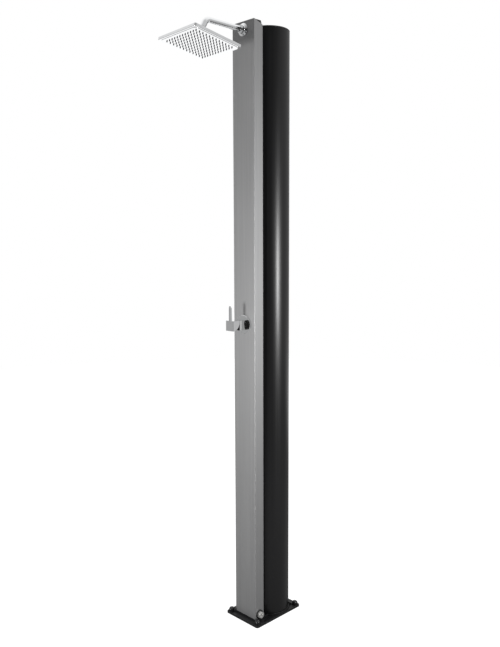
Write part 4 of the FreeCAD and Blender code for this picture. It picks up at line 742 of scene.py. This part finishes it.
def swept_grid(path, outline, side):
    """Outline carried along a path: path + across * side + up * (tangent x side)."""
    path = np.asarray(path, float)
    tangent = np.gradient(path, axis=0)
    tangent /= np.linalg.norm(tangent, axis=1, keepdims=True)
    up = np.cross(tangent, side)
    return path[:, None] + outline[:, :1] * np.asarray(side) + outline[:, 1:] * up[:, None]


low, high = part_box("arm_tube")
arm_r = (high[0] - low[0]) / 2
arm_z = high[2] - arm_r
corner = ball + stud_axis * (arm_z - ball[2]) / stud_axis[2]
arm_line = soften([(0, high[1], arm_z), corner, ball + stud_axis * BALL_TO_ARM],
                  [ARM_BEND_R], ARM_BEND_STEPS)
around = np.linspace(0, 2 * math.pi, ARM_SIDES, endpoint=False)
circle = np.stack([np.cos(around), np.sin(around)], axis=1)
outside = swept_grid(arm_line, circle * arm_r, (1, 0, 0))
inside = swept_grid(arm_line, circle * (arm_r - ARM_WALL), (1, 0, 0))[::-1]
arm = surface("bent_arm", np.concatenate([outside, inside]), wrap_rows=True)
place(arm, "post", "chrome", chrome, "arm_tube")

flange_low, flange_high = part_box("arm_flange")
flange_r = (flange_high[0] - flange_low[0]) / 2
flange_line = soften([(arm_r, 0), (flange_r, 0), (flange_r, FLANGE_EDGE_R),
                      (COLLAR_R, FLANGE_THICK), (COLLAR_R, COLLAR_LONG), (arm_r, COLLAR_LONG)],
                     [FLANGE_FOOT_R, FLANGE_EDGE_R / 2, COLLAR_FOOT_R, COLLAR_EDGE_R])
flange_grid = turned_grid(flange_line, (0, panel_front, arm_z), TOWARDS_VIEWER)
flange = surface("arm_cover_flange", flange_grid, wrap_rows=True)
place(flange, "post", "chrome", chrome, "arm_flange")

# ---- Ball joint --------------------------------------------------------------------------------
# A chromed brass ball on a stud that turns in the arm's end. The head's hub hangs on the
# ball by a chromed ring nut, with a plastic seat under the ball.
BALL_R = 0.010
NECK_R = 0.0045
STUD_COLLAR_R, STUD_COLLAR_LONG = 0.0095, 0.0019
STUD_GAP = 0.0001
STUD_EDGES = [0.0005, 0.0004, 0.0003]
NUT_R, NUT_LOW, NUT_TOP, NUT_EDGE_R = 0.0165, -0.010, 0.005, 0.0012
NUT_BORE_R, NUT_LIP_R, NUT_LIP_LOW, NUT_LIP_EDGE_R = 0.0142, 0.0106, 0.0005, 0.0002
MOUTH_GAP = 0.0003
BALL_STEPS, BALL_ROWS = 64, 29
HEAD_LEAN, HEAD_TILT, HEAD_SPIN = (math.radians(angle) for angle in (-1.5, -10.0, -1.6))

stud_top = BALL_TO_ARM - STUD_GAP
neck_from = math.sqrt(BALL_R ** 2 - NECK_R ** 2)
round_ball = np.linspace(-math.pi / 2, math.atan2(neck_from, NECK_R), BALL_ROWS)
stud_line = np.concatenate([
    np.stack([BALL_R * np.cos(round_ball), BALL_R * np.sin(round_ball)], axis=1),
    soften([(NECK_R, neck_from), (NECK_R, stud_top - STUD_COLLAR_LONG),
            (STUD_COLLAR_R, stud_top - STUD_COLLAR_LONG), (STUD_COLLAR_R, stud_top),
            (0, stud_top)], STUD_EDGES)])
stud = surface("ball_and_neck", turned_grid(stud_line, ball, stud_axis, BALL_STEPS))
place(stud, "swivel", "chrome", chrome, "ball_stud")

tilt_and_lean = Matrix.Rotation(HEAD_TILT, 3, "X") @ Matrix.Rotation(HEAD_LEAN, 3, "Y")
head_axes = np.array(Matrix.Rotation(HEAD_SPIN, 3, "Z") @ tilt_and_lean)
head_up = head_axes[:, 2]
nut_mouth = math.sqrt(BALL_R ** 2 - NUT_TOP ** 2) + MOUTH_GAP
nut_line = soften([(NUT_BORE_R, NUT_LOW), (NUT_R, NUT_LOW), (NUT_R, NUT_TOP),
                   (nut_mouth, NUT_TOP), (NUT_LIP_R, NUT_LIP_LOW), (NUT_BORE_R, NUT_LIP_LOW)],
                  [NUT_EDGE_R / 2, NUT_EDGE_R, MOUTH_GAP, NUT_LIP_EDGE_R])
nut = surface("ring_nut", turned_grid(nut_line, ball, head_up), wrap_rows=True)
place(nut, "head", "chrome", chrome, "head_nut")

# ---- Shower head ---------------------------------------------------------------------------
# A flat square case drawn from brass sheet, with a coned hub brazed on, polished and
# chrome plated. A separate square face with rounded corners closes it below, and
# twelve rows of twelve rubber nozzles stand through the face.
HEAD_HALF = 0.099
HEAD_CORNER_R = 0.006
HEAD_EDGE_R = 0.001
RIM_LOW, RIM_TOP = -0.045, -0.035
FACE_HALF, FACE_CORNER_R = 0.0922, 0.0102
FACE_DEEP, FACE_EDGE_R = 0.003, 0.0004
HUB_FOOT_R, HUB_R, HUB_FOOT_HIGH, HUB_TOP = 0.024, 0.014, 0.014, -0.001
HUB_FOOT_ROUND, HUB_ROUND, HUB_EDGE_R = 0.002, 0.003, 0.0003
SOCKET_R, SOCKET_ROWS = 0.0123, 19
CASE_STEPS = 80


def case_grid(line):
    """Rounded squares stacked along the head's axis, of half side, corner and height by line.

    A point lies at the corner arc's centre, plus or minus (half side - corner), plus the
    arc. Where the corner equals the half side, the square is a circle.
    """
    half, corner, height = line[:, 0, None, None], line[:, 1, None, None], line[:, 2, None]
    angle = np.linspace(0, 2 * math.pi, CASE_STEPS, endpoint=False) + math.pi / CASE_STEPS
    turn = np.stack([np.cos(angle), np.sin(angle)], axis=1)
    outline = np.sign(turn) * (half - corner) + corner * turn
    level = np.broadcast_to(height[..., None], outline[..., :1].shape)
    flat = np.concatenate([outline, level], axis=2)
    return flat @ head_axes.T + ball


face_top = RIM_LOW + FACE_DEEP
case_line = soften([(0, 0, face_top), (FACE_HALF, FACE_CORNER_R, face_top),
                    (FACE_HALF, FACE_CORNER_R, RIM_LOW), (HEAD_HALF, HEAD_CORNER_R, RIM_LOW),
                    (HEAD_HALF, HEAD_CORNER_R, RIM_TOP), (HUB_FOOT_R, HUB_FOOT_R, RIM_TOP),
                    (HUB_R, HUB_R, RIM_TOP + HUB_FOOT_HIGH), (HUB_R, HUB_R, HUB_TOP),
                    (SOCKET_R, SOCKET_R, HUB_TOP)],
                   [0, FACE_EDGE_R, HEAD_EDGE_R, HEAD_EDGE_R, HUB_FOOT_ROUND, HUB_ROUND,
                    HUB_EDGE_R])
# The hub is hollowed to a ball, in which the plastic seat turns.
socket = np.linspace(math.asin(HUB_TOP / SOCKET_R), -math.pi / 2, SOCKET_ROWS)
hollow = SOCKET_R * np.stack([np.cos(socket), np.cos(socket), np.sin(socket)], axis=1)
case_line = np.concatenate([case_line[:-1], hollow])
case = surface("head_case", case_grid(case_line))
place(case, "head", "chrome", chrome, "head_shell")
dress(chrome, "face_plate")
# Silicone nozzles: matt, and darker than the plate so that they stand out.
silicone = finish("dark_grey_silicone", ("17181a", "232527"), (0.55, 0.7), 0.0008, 0.00002)
dress(silicone, "nozzle_mat")
